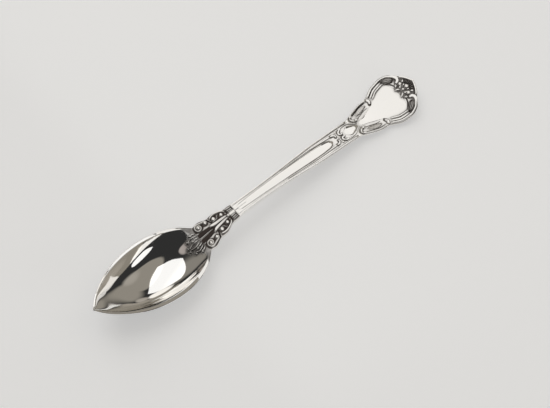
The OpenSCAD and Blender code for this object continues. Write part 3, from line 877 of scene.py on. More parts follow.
@dataclass(frozen=True)
class SilverFinish:
    """Silver with fine wiping scratches, faint handling marks, and recesses darkened by patina and painted
    shade.
    """

    name: str
    slot: Slot = Slot.SILVER
    colour: tuple = (0.93, 0.915, 0.89)
    recess_colour: tuple = (0.055, 0.045, 0.04)
    roughness: float = 0.05
    recess_roughness: float = 0.42
    marks: float = 0.05
    scratches: float = 0.05
    scratch_depth: float = 0.00004
    patina_and_shade: float = 1.0
    blotches: Grain = Grain((1, 1, 1), 210.0, 4.0)
    blotch_range: tuple = (0.3, 0.72)
    blotch_gain: float = 0.35
    blotch_least: float = 0.8
    smears: Grain = Grain((1, 1.6, 1), 95.0, 3.0)
    smear_range: tuple = (0.42, 0.78)
    lengthwise: Grain = Grain((0.05, 1, 1), 5200.0, 2.0)
    crosswise: Grain = Grain((1, 0.07, 1), 3300.0, 2.0)

    def material(self) -> bpy.types.Material:
        """Makes the material.

        Returns:
            The finished material.
        """
        mat, board = NodeBoard.of_material(self.name)
        place = board.add("TexCoord").outputs["Object"]
        # The recess attribute carries patina in the hollows and painted shade; it darkens the tone below.
        recess = board.add("Attribute", attribute_name="recess").outputs["Fac"]

        blotches = board.ramp(board.noise(place, self.blotches), *self.blotch_range)
        mottled = board.math("MULTIPLY_ADD", blotches, self.blotch_gain, self.blotch_least)
        dark = board.math("MULTIPLY", board.math("MULTIPLY", recess, self.patina_and_shade), mottled, clamp=True)
        tone = board.mix(dark, (*self.colour, 1), (*self.recess_colour, 1))

        smears = board.ramp(board.noise(place, self.smears), *self.smear_range)
        gloss = board.math("MULTIPLY_ADD", smears, self.marks, self.roughness)
        rough = board.math("ADD", gloss, board.math("MULTIPLY", dark, self.recess_roughness))

        wipes = board.math("ADD", board.noise(place, self.lengthwise), board.noise(place, self.crosswise))
        bump = board.add("Bump", {"Strength": self.scratches, "Distance": self.scratch_depth,
                                  "Height": wipes})
        shader = board.add("BsdfPrincipled", {"Metallic": 1.0, "Base Color": tone, "Roughness": rough,
                                              "Normal": bump.outputs["Normal"]})
        board.add("OutputMaterial", {"Surface": shader.outputs["BSDF"]})
        return mat


MIRROR_POLISH = SilverFinish("mirror polished silver", roughness=0.035, marks=0.035, scratches=0.03,
                             patina_and_shade=0.9)
BRIGHT_WORK = SilverFinish("bright silver work", roughness=0.07, marks=0.06)
STRUCK_WORK = SilverFinish("darkened struck silver", Slot.STRUCK, colour=(0.86, 0.84, 0.81), roughness=0.12,
                           marks=0.08, scratches=0.06, patina_and_shade=1.25)
NECK_GROUND = replace(STRUCK_WORK, slot=Slot.SILVER)


@dataclass
class Skin:
    """A closed surface: points [s, y, z] in mm, corner numbers of its faces, and how dark each point is."""

    points: np.ndarray
    faces: list
    recess: np.ndarray

    def mirrored(self) -> "Skin":
        """The same surface on the other half of the spoon."""
        faces = [tuple(reversed(face)) for face in self.faces]
        return Skin(self.points * np.array([1, -1, 1]), faces, self.recess)

    def joined(self, other: "Skin") -> "Skin":
        """Both surfaces as one."""
        faces = self.faces + [tuple(k + len(self.points) for k in face) for face in other.faces]
        return Skin(np.vstack([self.points, other.points]), faces,
                    np.concatenate([self.recess, other.recess]))


@dataclass
class Workshop:
    """Turns worked-out forms into pieces of the scene and keeps the finishes."""

    form: SpoonForm
    relief: Relief
    finishes: dict = field(default_factory=dict)
    crease: float = 38.0
    sink: float = 0.1
    lift: float = 0.004
    tuck: float = 0.02
    # Height share above which an ornament's top keeps its light tone, against the painted shade of its
    # flanks.
    bright_share: float = 0.95
    bright_power: float = 1.6
    edge_round: float = 0.26
    edge_fade: float = 0.12
    spread: float = 0.97
    tip_power: float = 0.8
    under_points: int = 33

    def finish(self, finish: SilverFinish) -> bpy.types.Material:
        """Gives the material of a finish, made once.

        Args:
            finish: The finish.

        Returns:
            Its material.
        """
        if finish.name not in self.finishes:
            self.finishes[finish.name] = finish.material()
        return self.finishes[finish.name]

    def piece(self, name: str, skin: Skin, finish: SilverFinish, node: str) -> bpy.types.Object:
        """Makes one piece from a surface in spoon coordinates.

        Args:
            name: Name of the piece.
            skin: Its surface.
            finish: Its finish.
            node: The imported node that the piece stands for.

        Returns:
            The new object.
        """
        placed = skin.points - np.array([self.form.length / 2, 0, 0])
        mesh = bpy.data.meshes.new(name)
        mesh.from_pydata((placed * MM).tolist(), [], skin.faces)
        mesh.update()
        layer = mesh.attributes.new("recess", "FLOAT", "POINT")
        layer.data.foreach_set("value", np.clip(skin.recess, 0, 1).astype(np.float32))
        mesh.shade_smooth()
        mesh.set_sharp_from_angle(angle=math.radians(self.crease))
        obj = bpy.data.objects.new(name, mesh)
        bpy.context.scene.collection.objects.link(obj)
        obj.data.materials.append(self.finish(finish))
        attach(obj, "root")
        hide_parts(node)
        LOG.info("%s: %d points, %d faces", name, len(skin.points), len(skin.faces))
        return obj

    def shell(self, ornament: Ornament, on_floor: bool, dark: tuple) -> Skin:
        """Lays one ornament on its ground as a closed form.

        Args:
            ornament: The struck form.
            on_floor: Whether it lies in the bowl.
            dark: Patina and painted shade of its flanks, and darkness of its top, 0 to 1.

        Returns:
            Its surface.
        """
        relief = self.relief
        s, y, h = ornament.points()
        rows, cols = s.shape
        low = self.form.floor(s, y) if on_floor else self.form.top(s, y) + relief.read(relief.sunk, s, y)
        z = low + h + self.lift
        z[:, (0, -1)] -= self.tuck
        top = np.stack([s, y, z], axis=-1).reshape(-1, 3)
        feet = np.stack([np.stack([s[:, k], y[:, k], low[:, k] - self.sink], axis=-1)
                         for k in (0, -1)], axis=1)
        index = np.arange(rows * cols).reshape(rows, cols)
        foot = rows * cols + np.arange(rows * 2).reshape(rows, 2)
        ring = np.hstack([index, foot[:, ::-1]])
        faces = walls(ring) + [tuple(ring[0].tolist()), tuple(ring[-1][::-1].tolist())]
        # Painted shade: the flanks darken with patina and painted shade, and the tops stay lighter.
        rise = np.clip(h / (self.bright_share * h.max()), 0, 1) ** self.bright_power
        flank = np.maximum(relief.read(relief.recess, s, y), dark[0])
        shade = (flank * (1 - rise) + dark[1] * rise).ravel()
        return Skin(np.vstack([top, feet.reshape(-1, 3)]), faces, np.concatenate([shade, np.ones(rows * 2)]))

    def laid(self, ornaments: Sequence[Ornament], on_floor: bool = False, dark: tuple = (0, 0)) -> Skin:
        """Lays the ornaments of one piece on their ground.

        Args:
            ornaments: The struck forms.
            on_floor: Whether they lie in the bowl.
            dark: Patina and painted shade of their flanks, and darkness of their tops, 0 to 1.

        Returns:
            The surface of them all.
        """
        whole = self.shell(ornaments[0], on_floor, dark)
        for ornament in ornaments[1:]:
            whole = whole.joined(self.shell(ornament, on_floor, dark))
        return whole

    def plate(self, first: float, last: float, step: float, across: int,
              ground_shade_and_tarnish: Sequence = ((0, 1), (200, 1)), pointed: bool = False) -> Skin:
        """Closes a stretch of the handle, with its grooves and rounded edges, into a plate.

        Args:
            first: Place where it starts, in mm.
            last: Place where it ends, in mm.
            step: Distance between rings in mm.
            across: Points across the top face.
            ground_shade_and_tarnish: Pairs of a place along the spoon and how much patina and painted shade
                darken the ground beside the ornament.
            pointed: Whether its end is the round tip of the handle.

        Returns:
            Its surface.
        """
        form, relief = self.form, self.relief
        t = np.linspace(0, 1, int((last - first) / step) + 1)
        if pointed:
            t = np.sin(np.pi / 2 * t ** self.tip_power)[:-1]
        s = first + (last - first) * t
        w = form.half_width(s)[:, None]
        soft = np.minimum(self.edge_round, 0.5 * w)
        y = w * crowded(across, self.spread)
        ss = np.repeat(s[:, None], across, axis=1)
        out = np.clip((np.abs(y) - (w - soft)) / soft, 0, 1)
        drop = soft * (1 - np.sqrt(np.clip(1 - out * out, 0, 1)))
        fade = np.clip((w - np.abs(y)) / self.edge_fade, 0, 1)
        z = form.top(ss, y) + relief.read(relief.sunk, ss, y) * fade - drop
        # Painted shade with patina beside the ornaments, and in the groove lines.
        shade = along(ground_shade_and_tarnish, ss) * relief.read(relief.recess, ss, y) + relief.read(relief.lines, ss, y)
        shade = np.clip(shade, 0, 1) * (1 - out ** 2)
        low = np.linspace(-1, 1, self.under_points)
        sl = np.repeat(s[:, None], len(low), axis=1)
        zl = np.minimum(form.under(sl, low[None, :]), form.top(sl, sl) - soft - self.tuck)
        rings = np.concatenate([np.stack([ss, y, z], -1), np.stack([sl, w * low[None, :], zl], -1)], axis=1)
        tip = np.array([form.length, 0, rings[-1, :, 2].mean()]) if pointed else None
        return self.skin(rings, np.concatenate([shade, np.zeros_like(sl)], axis=1), end=tip)

    def skin(self, rings: np.ndarray, shade: np.ndarray, start: Optional[np.ndarray] = None,
             end: Optional[np.ndarray] = None) -> Skin:
        """Closes rings of points into a surface.

        Args:
            rings: Points by ring and place, in mm.
            shade: Recess shares by ring and place.
            start: Point that closes the first ring, or None for a flat end.
            end: The same for the last ring.

        Returns:
            The surface.
        """
        m, n = rings.shape[:2]
        place = np.arange(m * n).reshape(m, n)
        faces = walls(place)
        faces += [(m * n, j, (j + 1) % n) for j in range(n)]
        last = (m - 1) * n
        faces += [(m * n + 1, last + (j + 1) % n, last + j) for j in range(n)]
        hubs = [rings[0].mean(axis=0) if start is None else start,
                rings[-1].mean(axis=0) if end is None else end]
        return Skin(np.vstack([rings.reshape(-1, 3), hubs]), faces, np.append(shade.ravel(), (0, 0)))


@dataclass
class Bowl:
    """Deep pointed bowl with a bright rim, and the leaf spray in its heel.

    The lip rolls over from the floor, slopes outwards and ends in a fine arris, so that it
    shows as a bright line. Near the point, where it is narrow, it drops less in proportion.
    """

    shop: Workshop
    rings: int = 230
    ring_sweep: float = 125.0
    first_ring_share: float = 0.004
    floor_points: int = 97
    floor_spread: float = 0.8
    floor_width_share: float = 0.88
    lip_points: int = 15
    wall_points: int = 34
    floor_start: float = 0.06
    floor_ease: float = 0.03
    roll_drop: float = 0.06
    roll_share: float = 0.25
    lip_slope: float = 0.36
    arris_drop: float = 0.12
    arris_share: float = 0.14
    point_wear: float = 1.25
    # Painted shade on the floor and lip at the heel, beside the neck.
    heel_painted_shade: float = 0.85
    heel_reach: float = 1.5
    heel_bow: float = 2.2
    heel_run: float = 0.9
    vein: Strip = Strip(0.5, 0.5, width_ends=(0.4, 0.4), height_ends=(0.3, 0.5))
    vein_curl: tuple = (0.48, 0.6)
    vein_bead: float = 0.27
    # Patina and painted shade of the spray's flanks and tops.
    spray_dark: tuple = (1, 0.1)
    leaves: tuple = (((0.99, 0.05), (0.96, 0.08), (0.925, 0.09), (0.89, 0.03)),
                     ((0.995, 0.18), (0.975, 0.2), (0.962, 0.2), (0.95, 0.16)),
                     ((0.995, 0.32), (0.965, 0.34), (0.935, 0.32), (0.915, 0.25)),
                     ((0.995, 0.48), (0.98, 0.5), (0.968, 0.49), (0.958, 0.45)))

    def ornaments(self) -> list[Ornament]:
        """Works out the curled veins of the left half.

        Returns:
            The veins, each with the bead in its curl.
        """
        form = self.shop.form
        made = []
        for leaf in self.leaves:
            path = form.path(lambda share: share * form.bowl_length, leaf)
            made.append(self.vein.laid(curled(path, (0, 0), self.vein_curl)))
            made.append(bead(eye_of(path[-1], path[-2], path[-1], self.vein_curl[0]), self.vein_bead,
                             self.vein.height))
        return made

    def stamp(self) -> None:
        """Marks the veins on the map of the relief."""
        for leaf in self.ornaments():
            self.shop.relief.stamp(leaf)

    def profile(self) -> np.ndarray:
        """Works out the rings of the shell: floor, right lip and wall, left wall and lip.

        Returns:
            Points by ring and place, in mm.
        """
        form = self.shop.form
        sweep = math.radians(self.ring_sweep)
        share = (1 - np.cos(sweep * np.linspace(0, 1, self.rings + 1))) / (1 - math.cos(sweep))
        s = form.bowl_length * (self.first_ring_share + (1 - self.first_ring_share) * share)[:, None]
        w = form.half_width(s)
        inner = np.minimum(form.read("hollow", s), self.floor_width_share * w)
        full = np.minimum(1, (w - inner) / form.rim_width)
        top = np.minimum(form.read("top", s), form.tip_height - self.point_wear * form.worn)

        g = crowded(self.floor_points, self.floor_spread)
        depth = form.read("depth", s) - self.floor_ease * full
        z = top - self.floor_start * full - depth * form.dished(g)

        v = np.linspace(0, 1, self.lip_points)[None, 1:]
        drop = (self.roll_drop * np.clip(1 - v / self.roll_share, 0, 1) ** 2
                + self.lip_slope * form.rim_width * np.clip(v - self.roll_share, 0, 1)
                + self.arris_drop * np.clip((v - 1 + self.arris_share) / self.arris_share, 0, 1) ** 2)
        lip_y, lip_z = inner + (w - inner) * v, top - drop * full

        q = np.linspace(1, 0, self.wall_points)[None, 1:] * np.ones_like(w)
        wall_y, wall_z = w * q, form.under(s * np.ones_like(q), q)
        edge_z = form.under(s, np.ones_like(w))
        ring_y = np.hstack([inner * g, -lip_y, -w, -wall_y, wall_y[:, -2::-1], w, lip_y[:, ::-1]])
        ring_z = np.hstack([z, lip_z, edge_z, wall_z, wall_z[:, -2::-1], edge_z, lip_z[:, ::-1]])
        return np.stack([s * np.ones_like(ring_y), ring_y, ring_z], axis=-1)

    def shading(self, rings: np.ndarray) -> np.ndarray:
        """Works out how dark the shell is: patina and painted shade under the spray, and painted shade at its
        end beside the neck.

        Args:
            rings: Points by ring and place, in mm.

        Returns:
            Recess shares by ring and place.
        """
        form, relief = self.shop.form, self.shop.relief
        s, y = rings[:, :, 0], rings[:, :, 1]
        shade = np.zeros(s.shape)
        shade[:, :self.floor_points] = relief.read(relief.recess, s, y)[:, :self.floor_points]
        # Painted shade at the heel: the shell darkens towards the neck.
        side = np.abs(y) / form.half_width(s)
        end = s - form.bowl_length + self.heel_reach + self.heel_bow * side ** 2
        heel = self.heel_painted_shade * np.clip(end / self.heel_run, 0, 1)
        for top_face in (slice(0, self.floor_points + self.lip_points - 1), slice(1 - self.lip_points, None)):
            shade[:, top_face] = np.maximum(shade, heel)[:, top_face]
        return shade

    def build(self) -> None:
        """Builds the shell and the spray."""
        form, shop = self.shop.form, self.shop
        rings = self.profile()
        point = np.array([0, 0, form.tip_height - form.rim_thickness / 2])
        shop.piece("spoon_bowl", shop.skin(rings, self.shading(rings), start=point), MIRROR_POLISH, "bowl")
        left = shop.laid(self.ornaments(), on_floor=True, dark=self.spray_dark)
        shop.piece("heel_leaf_spray", left.joined(left.mirrored()), STRUCK_WORK, "bowl_leaf_spray")


@dataclass
class StruckPart:
    """A named ornament of the handle, on one or both sides."""

    name: str
    ornaments: list
    finish: SilverFinish = BRIGHT_WORK
    # Patina and painted shade of the flanks and of the tops.
    dark: tuple = (0, 0)
    paired: bool = True
    node: str = ""

    def build(self, shop: Workshop) -> None:
        """Builds the piece, or the pair of pieces.

        Args:
            shop: Makes the pieces.
        """
        skin = shop.laid(self.ornaments, dark=self.dark)
        node = self.node or self.name
        if not self.paired:
            shop.piece(self.name, skin, self.finish, node)
            return
        for side in Side:
            own = skin if side is Side.LEFT else skin.mirrored()
            shop.piece(f"{self.name}_{side.value}", own, self.finish, f"{node}_{side.value}")


@dataclass
class Neck:
    """Scrolled neck: a hollow between two ridges, two pairs of scrolls, and the shoulder husks."""

    shop: Workshop
    volute: float = 1.4
    volute_turns: float = 1.35
    end_curl: float = 0.63
    end_turns: float = 0.6
    # Dark pairs: patina and painted shade of flanks and tops.
    dark: tuple = (0.7, 0)
    husk_dark: tuple = (1, 0.15)
    ridge: Strip = Strip(1.15, 0.62, Section.TABLE, (0.3, 0.5), (0.12, 0.4), taper=0.3, step=0.1, across=21)
    lower_scroll: Strip = Strip(0.86, 0.62, Section.SCROLL, (0.12, 0.55), (0.1, 0.75), step=0.07, across=21)
    upper_scroll: Strip = Strip(0.5332, 0.62, width_ends=(0.12, 0.6), height_ends=(0.1, 0.8))
    tendril: Strip = Strip(0.4, 0.4, Section.ROUND, (0.2, 0.4), (0.2, 0.4))
    husk_rib: Strip = Strip(0.4, 0.42, width_ends=(0.3, 0.5), height_ends=(0.2, 0.5))
    brim: Strip = Strip(0.4, 0.504, width_ends=(0.2, 0.6), step=0.05)
    keel: Strip = Strip(0.4, 0.3, Section.ROUND, (0.1, 0.5), (0.1, 0.4), step=0.1)
    collar_ridge: Strip = Strip(1.2, 0.42, Section.TABLE, (0.1, 0.6), (0.1, 0.4), step=0.1)
    ridge_shares: tuple = ((0.33, 0.29), (0.4, 0.22), (0.48, 0.165), (0.6, 0.14), (0.78, 0.11))
    lower_shares: tuple = ((0.15, 0.87), (0.315, 0.84))
    upper_shares: tuple = ((0.43, 0.78), (0.49, 0.86), (0.58, 0.88), (0.67, 0.9), (0.75, 0.86), (0.79, 0.68))
    tendril_shares: tuple = ((0.44, 0.4), (0.56, 0.42), (0.6, 0.62), (0.64, 0.72))
    brim_shares: tuple = ((0.988, 0.26), (0.997, 0.55), (0.985, 0.88))
    husk_length_shares: tuple = (0.835, 0.9, 0.982)
    husk_side_shares: tuple = ((0.34, 0.3), (0.55, 0.52), (0.76, 0.75))
    keel_ends: tuple = (0.0, 0.36)
    collar_ends: tuple = (0.83, 0.995)
    middle_points: int = 30
    eye_beads: tuple = ((0.5, 0.8), (0.55, 0.85))
    knob_shares: tuple = ((0.5, 0.56), (0.69, 0.5))
    knob_beads: tuple = ((0.62, 0.82), (0.55, 0.85))
    collar_bead_share: float = 0.805
    collar_bead_radius: float = 0.459
    hollow_places: tuple = ((0.0, 1.15), (0.22, 1.05), (0.34, 0.7))
    hollow_width: float = 2.1
    hollow_depth: float = 0.42
    cuts: tuple = (Cut(((0.36, 0), (0.78, 0)), 0.4, 0.25),
                   Cut(((0.36, 0.95), (0.4, 0.6), (0.42, 0.4)), 0.55, 0.3),
                   Cut(((0.8, 0.9), (0.82, 0.5)), 0.45, 0.2), Cut(((0.85, 0.54), (0.96, 0.54)), 2.2, 0.3))
    ring_step: float = 0.1
    across: int = 111
    # Patina and painted shade added to the neck's low ground.
    ground_dark: float = 0.25
    ground_least: float = 0.02

    def scrolls(self) -> list[StruckPart]:
        """Works out the two pairs of scrolls with their beads.

        Returns:
            The lower and the upper scroll.
        """
        form = self.shop.form
        a, b = form.on(form.neck_at, self.lower_shares)
        lower = curled(rounded([a, (a + b) / 2, b]), (self.volute, self.volute_turns),
                       (self.end_curl, self.end_turns))
        eyes = [eye_of(a, a, b, self.volute), eye_of(b, a, b, self.end_curl)]
        knobs = form.on(form.neck_at, self.knob_shares)
        low = [self.lower_scroll.laid(lower)]
        low += [bead(eye, *size) for eye, size in zip(eyes, self.eye_beads)]
        high = [self.upper_scroll.laid(form.path(form.neck_at, self.upper_shares)),
                self.tendril.laid(form.path(form.neck_at, self.tendril_shares))]
        high += [bead(knob, *size) for knob, size in zip(knobs, self.knob_beads)]
        return [StruckPart("lower_neck_scroll", low, STRUCK_WORK, self.dark, node="neck_lower_scroll"),
                StruckPart("upper_neck_scroll", high, STRUCK_WORK, self.dark, node="neck_upper_scroll")]

    def parts(self) -> list[StruckPart]:
        """Works out the ornaments of the neck.

        Returns:
            Its ridges, scrolls, husks, and what lies on the middle line.
        """
        form = self.shop.form
        neck = form.neck_at
        start, middle, end = self.husk_length_shares
        husk = [self.husk_rib.laid(form.path(neck, ((start, root), (middle, side), (end, side))))
                for root, side in self.husk_side_shares]
        husk.append(self.brim.laid(form.path(neck, self.brim_shares)))
        on_middle = [bead((neck(self.collar_bead_share), 0), self.collar_bead_radius,
                          self.lower_scroll.height)]
        on_middle += [strip.laid(midline(neck(ends[0]), neck(ends[1]), self.middle_points))
                      for strip, ends in ((self.keel, self.keel_ends), (self.collar_ridge, self.collar_ends))]
        ridge = self.ridge.laid(form.path(neck, self.ridge_shares))
        return [
            StruckPart("neck_ridge", [ridge], STRUCK_WORK, self.dark),
            *self.scrolls(),
            StruckPart("shoulder_husk", husk, STRUCK_WORK, self.husk_dark),
            StruckPart("neck_bead", on_middle, STRUCK_WORK, self.dark, paired=False),
        ]

    def grooves(self) -> None:
        """Cuts the hollow between the ridges and the lines between the scrolls."""
        form, relief = self.shop.form, self.shop.relief
        hollow = np.array([(form.neck_at(share), y) for share, y in self.hollow_places])
        relief.groove(hollow, self.hollow_width, self.hollow_depth)
        for cut in self.cuts:
            cut.carve(relief, form.neck_at)

    def build(self) -> None:
        """Builds the plate of the neck, whose ground takes patina and painted shade wherever it lies low."""
        form = self.shop.form
        skin = self.shop.plate(form.neck_start, form.stem_start, self.ring_step, self.across)
        # Painted shade with patina over the low ground.
        low = skin.recess > self.ground_least
        skin.recess = np.clip(skin.recess * (1 - self.ground_dark) + self.ground_dark * low, 0, 1)
        self.shop.piece("neck_plate", skin, NECK_GROUND, "neck")


@dataclass
class Stem:
    """Ribbed stem with its tongue panel, and the knot."""

    shop: Workshop
    edge_rib: Strip = Strip(0.66, 0.35, width_ends=(0.02,), height_ends=(0.02,), step=0.16)
    edge_rib_inset: float = 0.465
    tongue_frame: Strip = Strip(0.36, 0.48, width_ends=(0.08, 0.5), height_ends=(0.06, 0.6),
                                swells=(Swell(0.5, 0.3, 0.4),))
    oval_frame: Strip = Strip(0.76, 0.48, width_ends=(0.08, 0.5), height_ends=(0.06, 0.6),
                              swells=(Swell(0.35, 0.3, -0.4),))
    oval: Strip = Strip(4.15, 0.35, Section.CROWN, height_ends=(0.25, 0.15), step=0.08, across=25)
    # Dark pairs: patina and painted shade of flanks and tops.
    frame_dark: tuple = (0.8, 0)
    bead_dark: tuple = (0.9, 0)
    tongue_width: float = 4.0
    tongue_height: float = 0.45
    tongue_least: float = 0.6
    tongue_end: float = 0.1
    tongue_end_least: float = 0.02
    tongue_step: float = 0.14
    tongue_across: int = 41
    tongue_points: int = 60
    tongue_ends: tuple = (0.03, 0.935)
    frame_ends: tuple = (0.48, 0.86)
    frame_points: int = 30
    frame_skip: int = 6
    frame_gap: float = 0.41
    rib_ends: tuple = (0.012, 0.17)
    rib_points: int = 200
    oval_ends: tuple = (0.07, 0.245)
    oval_points: int = 40
    bead_place_share: float = 0.28
    bead_radius_share: float = 0.055
    line_width: float = 0.24
    line_depth: float = 0.14
    line_gap: float = 0.08
    line_ends: tuple = (0.02, 0.985)
    line_points: int = 160
    edge_line_inset: float = 0.868
    edge_line_points: int = 220
    tongue_hook: tuple = ((0.95, 0.5), (0.968, 0.46), (0.98, 0.34), (0.979, 0.2), (0.968, 0.15))
    oval_hook: tuple = ((0.062, 0.22), (0.04, 0.14), (0.022, 0.22), (0.022, 0.38), (0.045, 0.54))
    oval_side: tuple = ((0.09, 0.66), (0.15, 0.64), (0.19, 0.48), (0.22, 0.3), (0.25, 0.13))
    oval_shares: tuple = ((0, 0.1), (0.12, 0.62), (0.35, 1), (0.7, 0.7), (1, 0.1))
    tongue_shares: tuple = ((0, 0.5), (0.1, 0.6), (0.3, 0.73), (0.6, 0.9), (0.84, 1), (0.93, 0.9),
                            (0.975, 0.62), (1, 0.12))
    stem_cuts: tuple = (Cut(tongue_hook[:-1], 1.6, 0.32, smooth=True),
                        Cut(((0.0, 0.0), (0.1, 0.0)), 0.34, 0.16))
    knot_cuts: tuple = (Cut(oval_hook[1:], 1.8, 0.34, smooth=True),)
    # Weights of patina and painted shade on the stem's ground, rising towards the knot.
    shade_and_tarnish_before_knot: tuple = ((-48.5, 0.04), (-7, 0.04), (-4, 0.3), (0, 0.35))
    ring_step: float = 0.16
    across: int = 101

    def tongue_half(self, t: np.ndarray) -> np.ndarray:
        """Half of the tongue panel's width at shares of its length."""
        return self.tongue_width / 2 * along(self.tongue_shares, t)

    def tongue_rise(self, t: np.ndarray) -> np.ndarray:
        """Height of the tongue panel at shares of its length."""
        end = np.sqrt(np.clip((1 - t) / self.tongue_end, self.tongue_end_least, 1))
        return self.tongue_height * (self.tongue_least + (1 - self.tongue_least) * t) * end

    def beside_tongue(self, ends: tuple, count: int, gap: float) -> np.ndarray:
        """Works out a path beside the tongue panel.

        Args:
            ends: Shares of the panel's length where it starts and ends.
            count: How many points it has.
            gap: Its distance from the panel in mm.

        Returns:
            Points [s, y] in mm.
        """
        shares = np.linspace(*ends, count)
        first, last = (self.shop.form.stem_at(end) for end in self.tongue_ends)
        return np.column_stack([first + (last - first) * shares, self.tongue_half(shares) + gap])

    def parts(self) -> list[StruckPart]:
        """Works out the ornaments of the stem and the knot.

        Returns:
            The panels, their frames, the edge ribs and the beads.
        """
        form = self.shop.form
        stem, head = form.stem_at, form.head_at
        panel = midline(stem(self.tongue_ends[0]), stem(self.tongue_ends[1]), self.tongue_points)
        edge = form.rail(stem(self.rib_ends[0]), head(self.rib_ends[1]), self.rib_points, self.edge_rib_inset)
        beside = self.beside_tongue(self.frame_ends, self.frame_points, self.frame_gap)[::self.frame_skip]
        frame_path = rounded(np.vstack([beside, form.on(stem, self.tongue_hook)]))
        oval = midline(head(self.oval_ends[0]), head(self.oval_ends[1]), self.oval_points)
        beads = [bead((form.knot_at, side * self.bead_place_share * form.knot_width),
                      self.bead_radius_share * form.knot_width, self.edge_rib.height) for side in (-1, 0, 1)]
        tongue = Ornament(panel, lambda t: 2 * self.tongue_half(t), self.tongue_rise, Section.CROWN,
                          step=self.tongue_step, across=self.tongue_across)
        crown = self.oval.laid(oval, lambda t: self.oval.width * along(self.oval_shares, t))
        return [
            StruckPart("tongue_panel", [tongue], MIRROR_POLISH, paired=False, node="stem_tongue_panel"),
            StruckPart("stem_edge_rib", [self.edge_rib.laid(edge)]),
            StruckPart("tongue_frame", [self.tongue_frame.laid(frame_path)], dark=self.frame_dark),
            StruckPart("knot_beads", beads, STRUCK_WORK, self.bead_dark, paired=False),
            StruckPart("oval_panel", [crown], paired=False),
            StruckPart("oval_frame", [self.oval_frame.laid(form.path(head, self.oval_hook + self.oval_side))],
                       dark=self.frame_dark),
        ]

    def grooves(self) -> None:
        """Cuts the lines round the tongue and inside the edge ribs, the eyes, and the line at the neck."""
        form, relief = self.shop.form, self.shop.relief
        beside = self.beside_tongue(self.line_ends, self.line_points, self.line_gap)
        edge = form.rail(form.stem_start, form.head_at(self.rib_ends[1]), self.edge_line_points,
                         self.edge_line_inset)
        for path in (beside, edge):
            relief.groove(path, self.line_width, self.line_depth)
        for cut in self.stem_cuts:
            cut.carve(relief, form.stem_at)
        for cut in self.knot_cuts:
            cut.carve(relief, form.head_at)

    def build(self) -> None:
        """Builds the plate of the stem."""
        form = self.shop.form
        ground_shade_and_tarnish = [(form.knot_at + before, share) for before, share in self.shade_and_tarnish_before_knot]
        skin = self.shop.plate(form.stem_start, form.knot_at, self.ring_step, self.across, ground_shade_and_tarnish=ground_shade_and_tarnish)
        self.shop.piece("stem_plate", skin, BRIGHT_WORK, "stem")


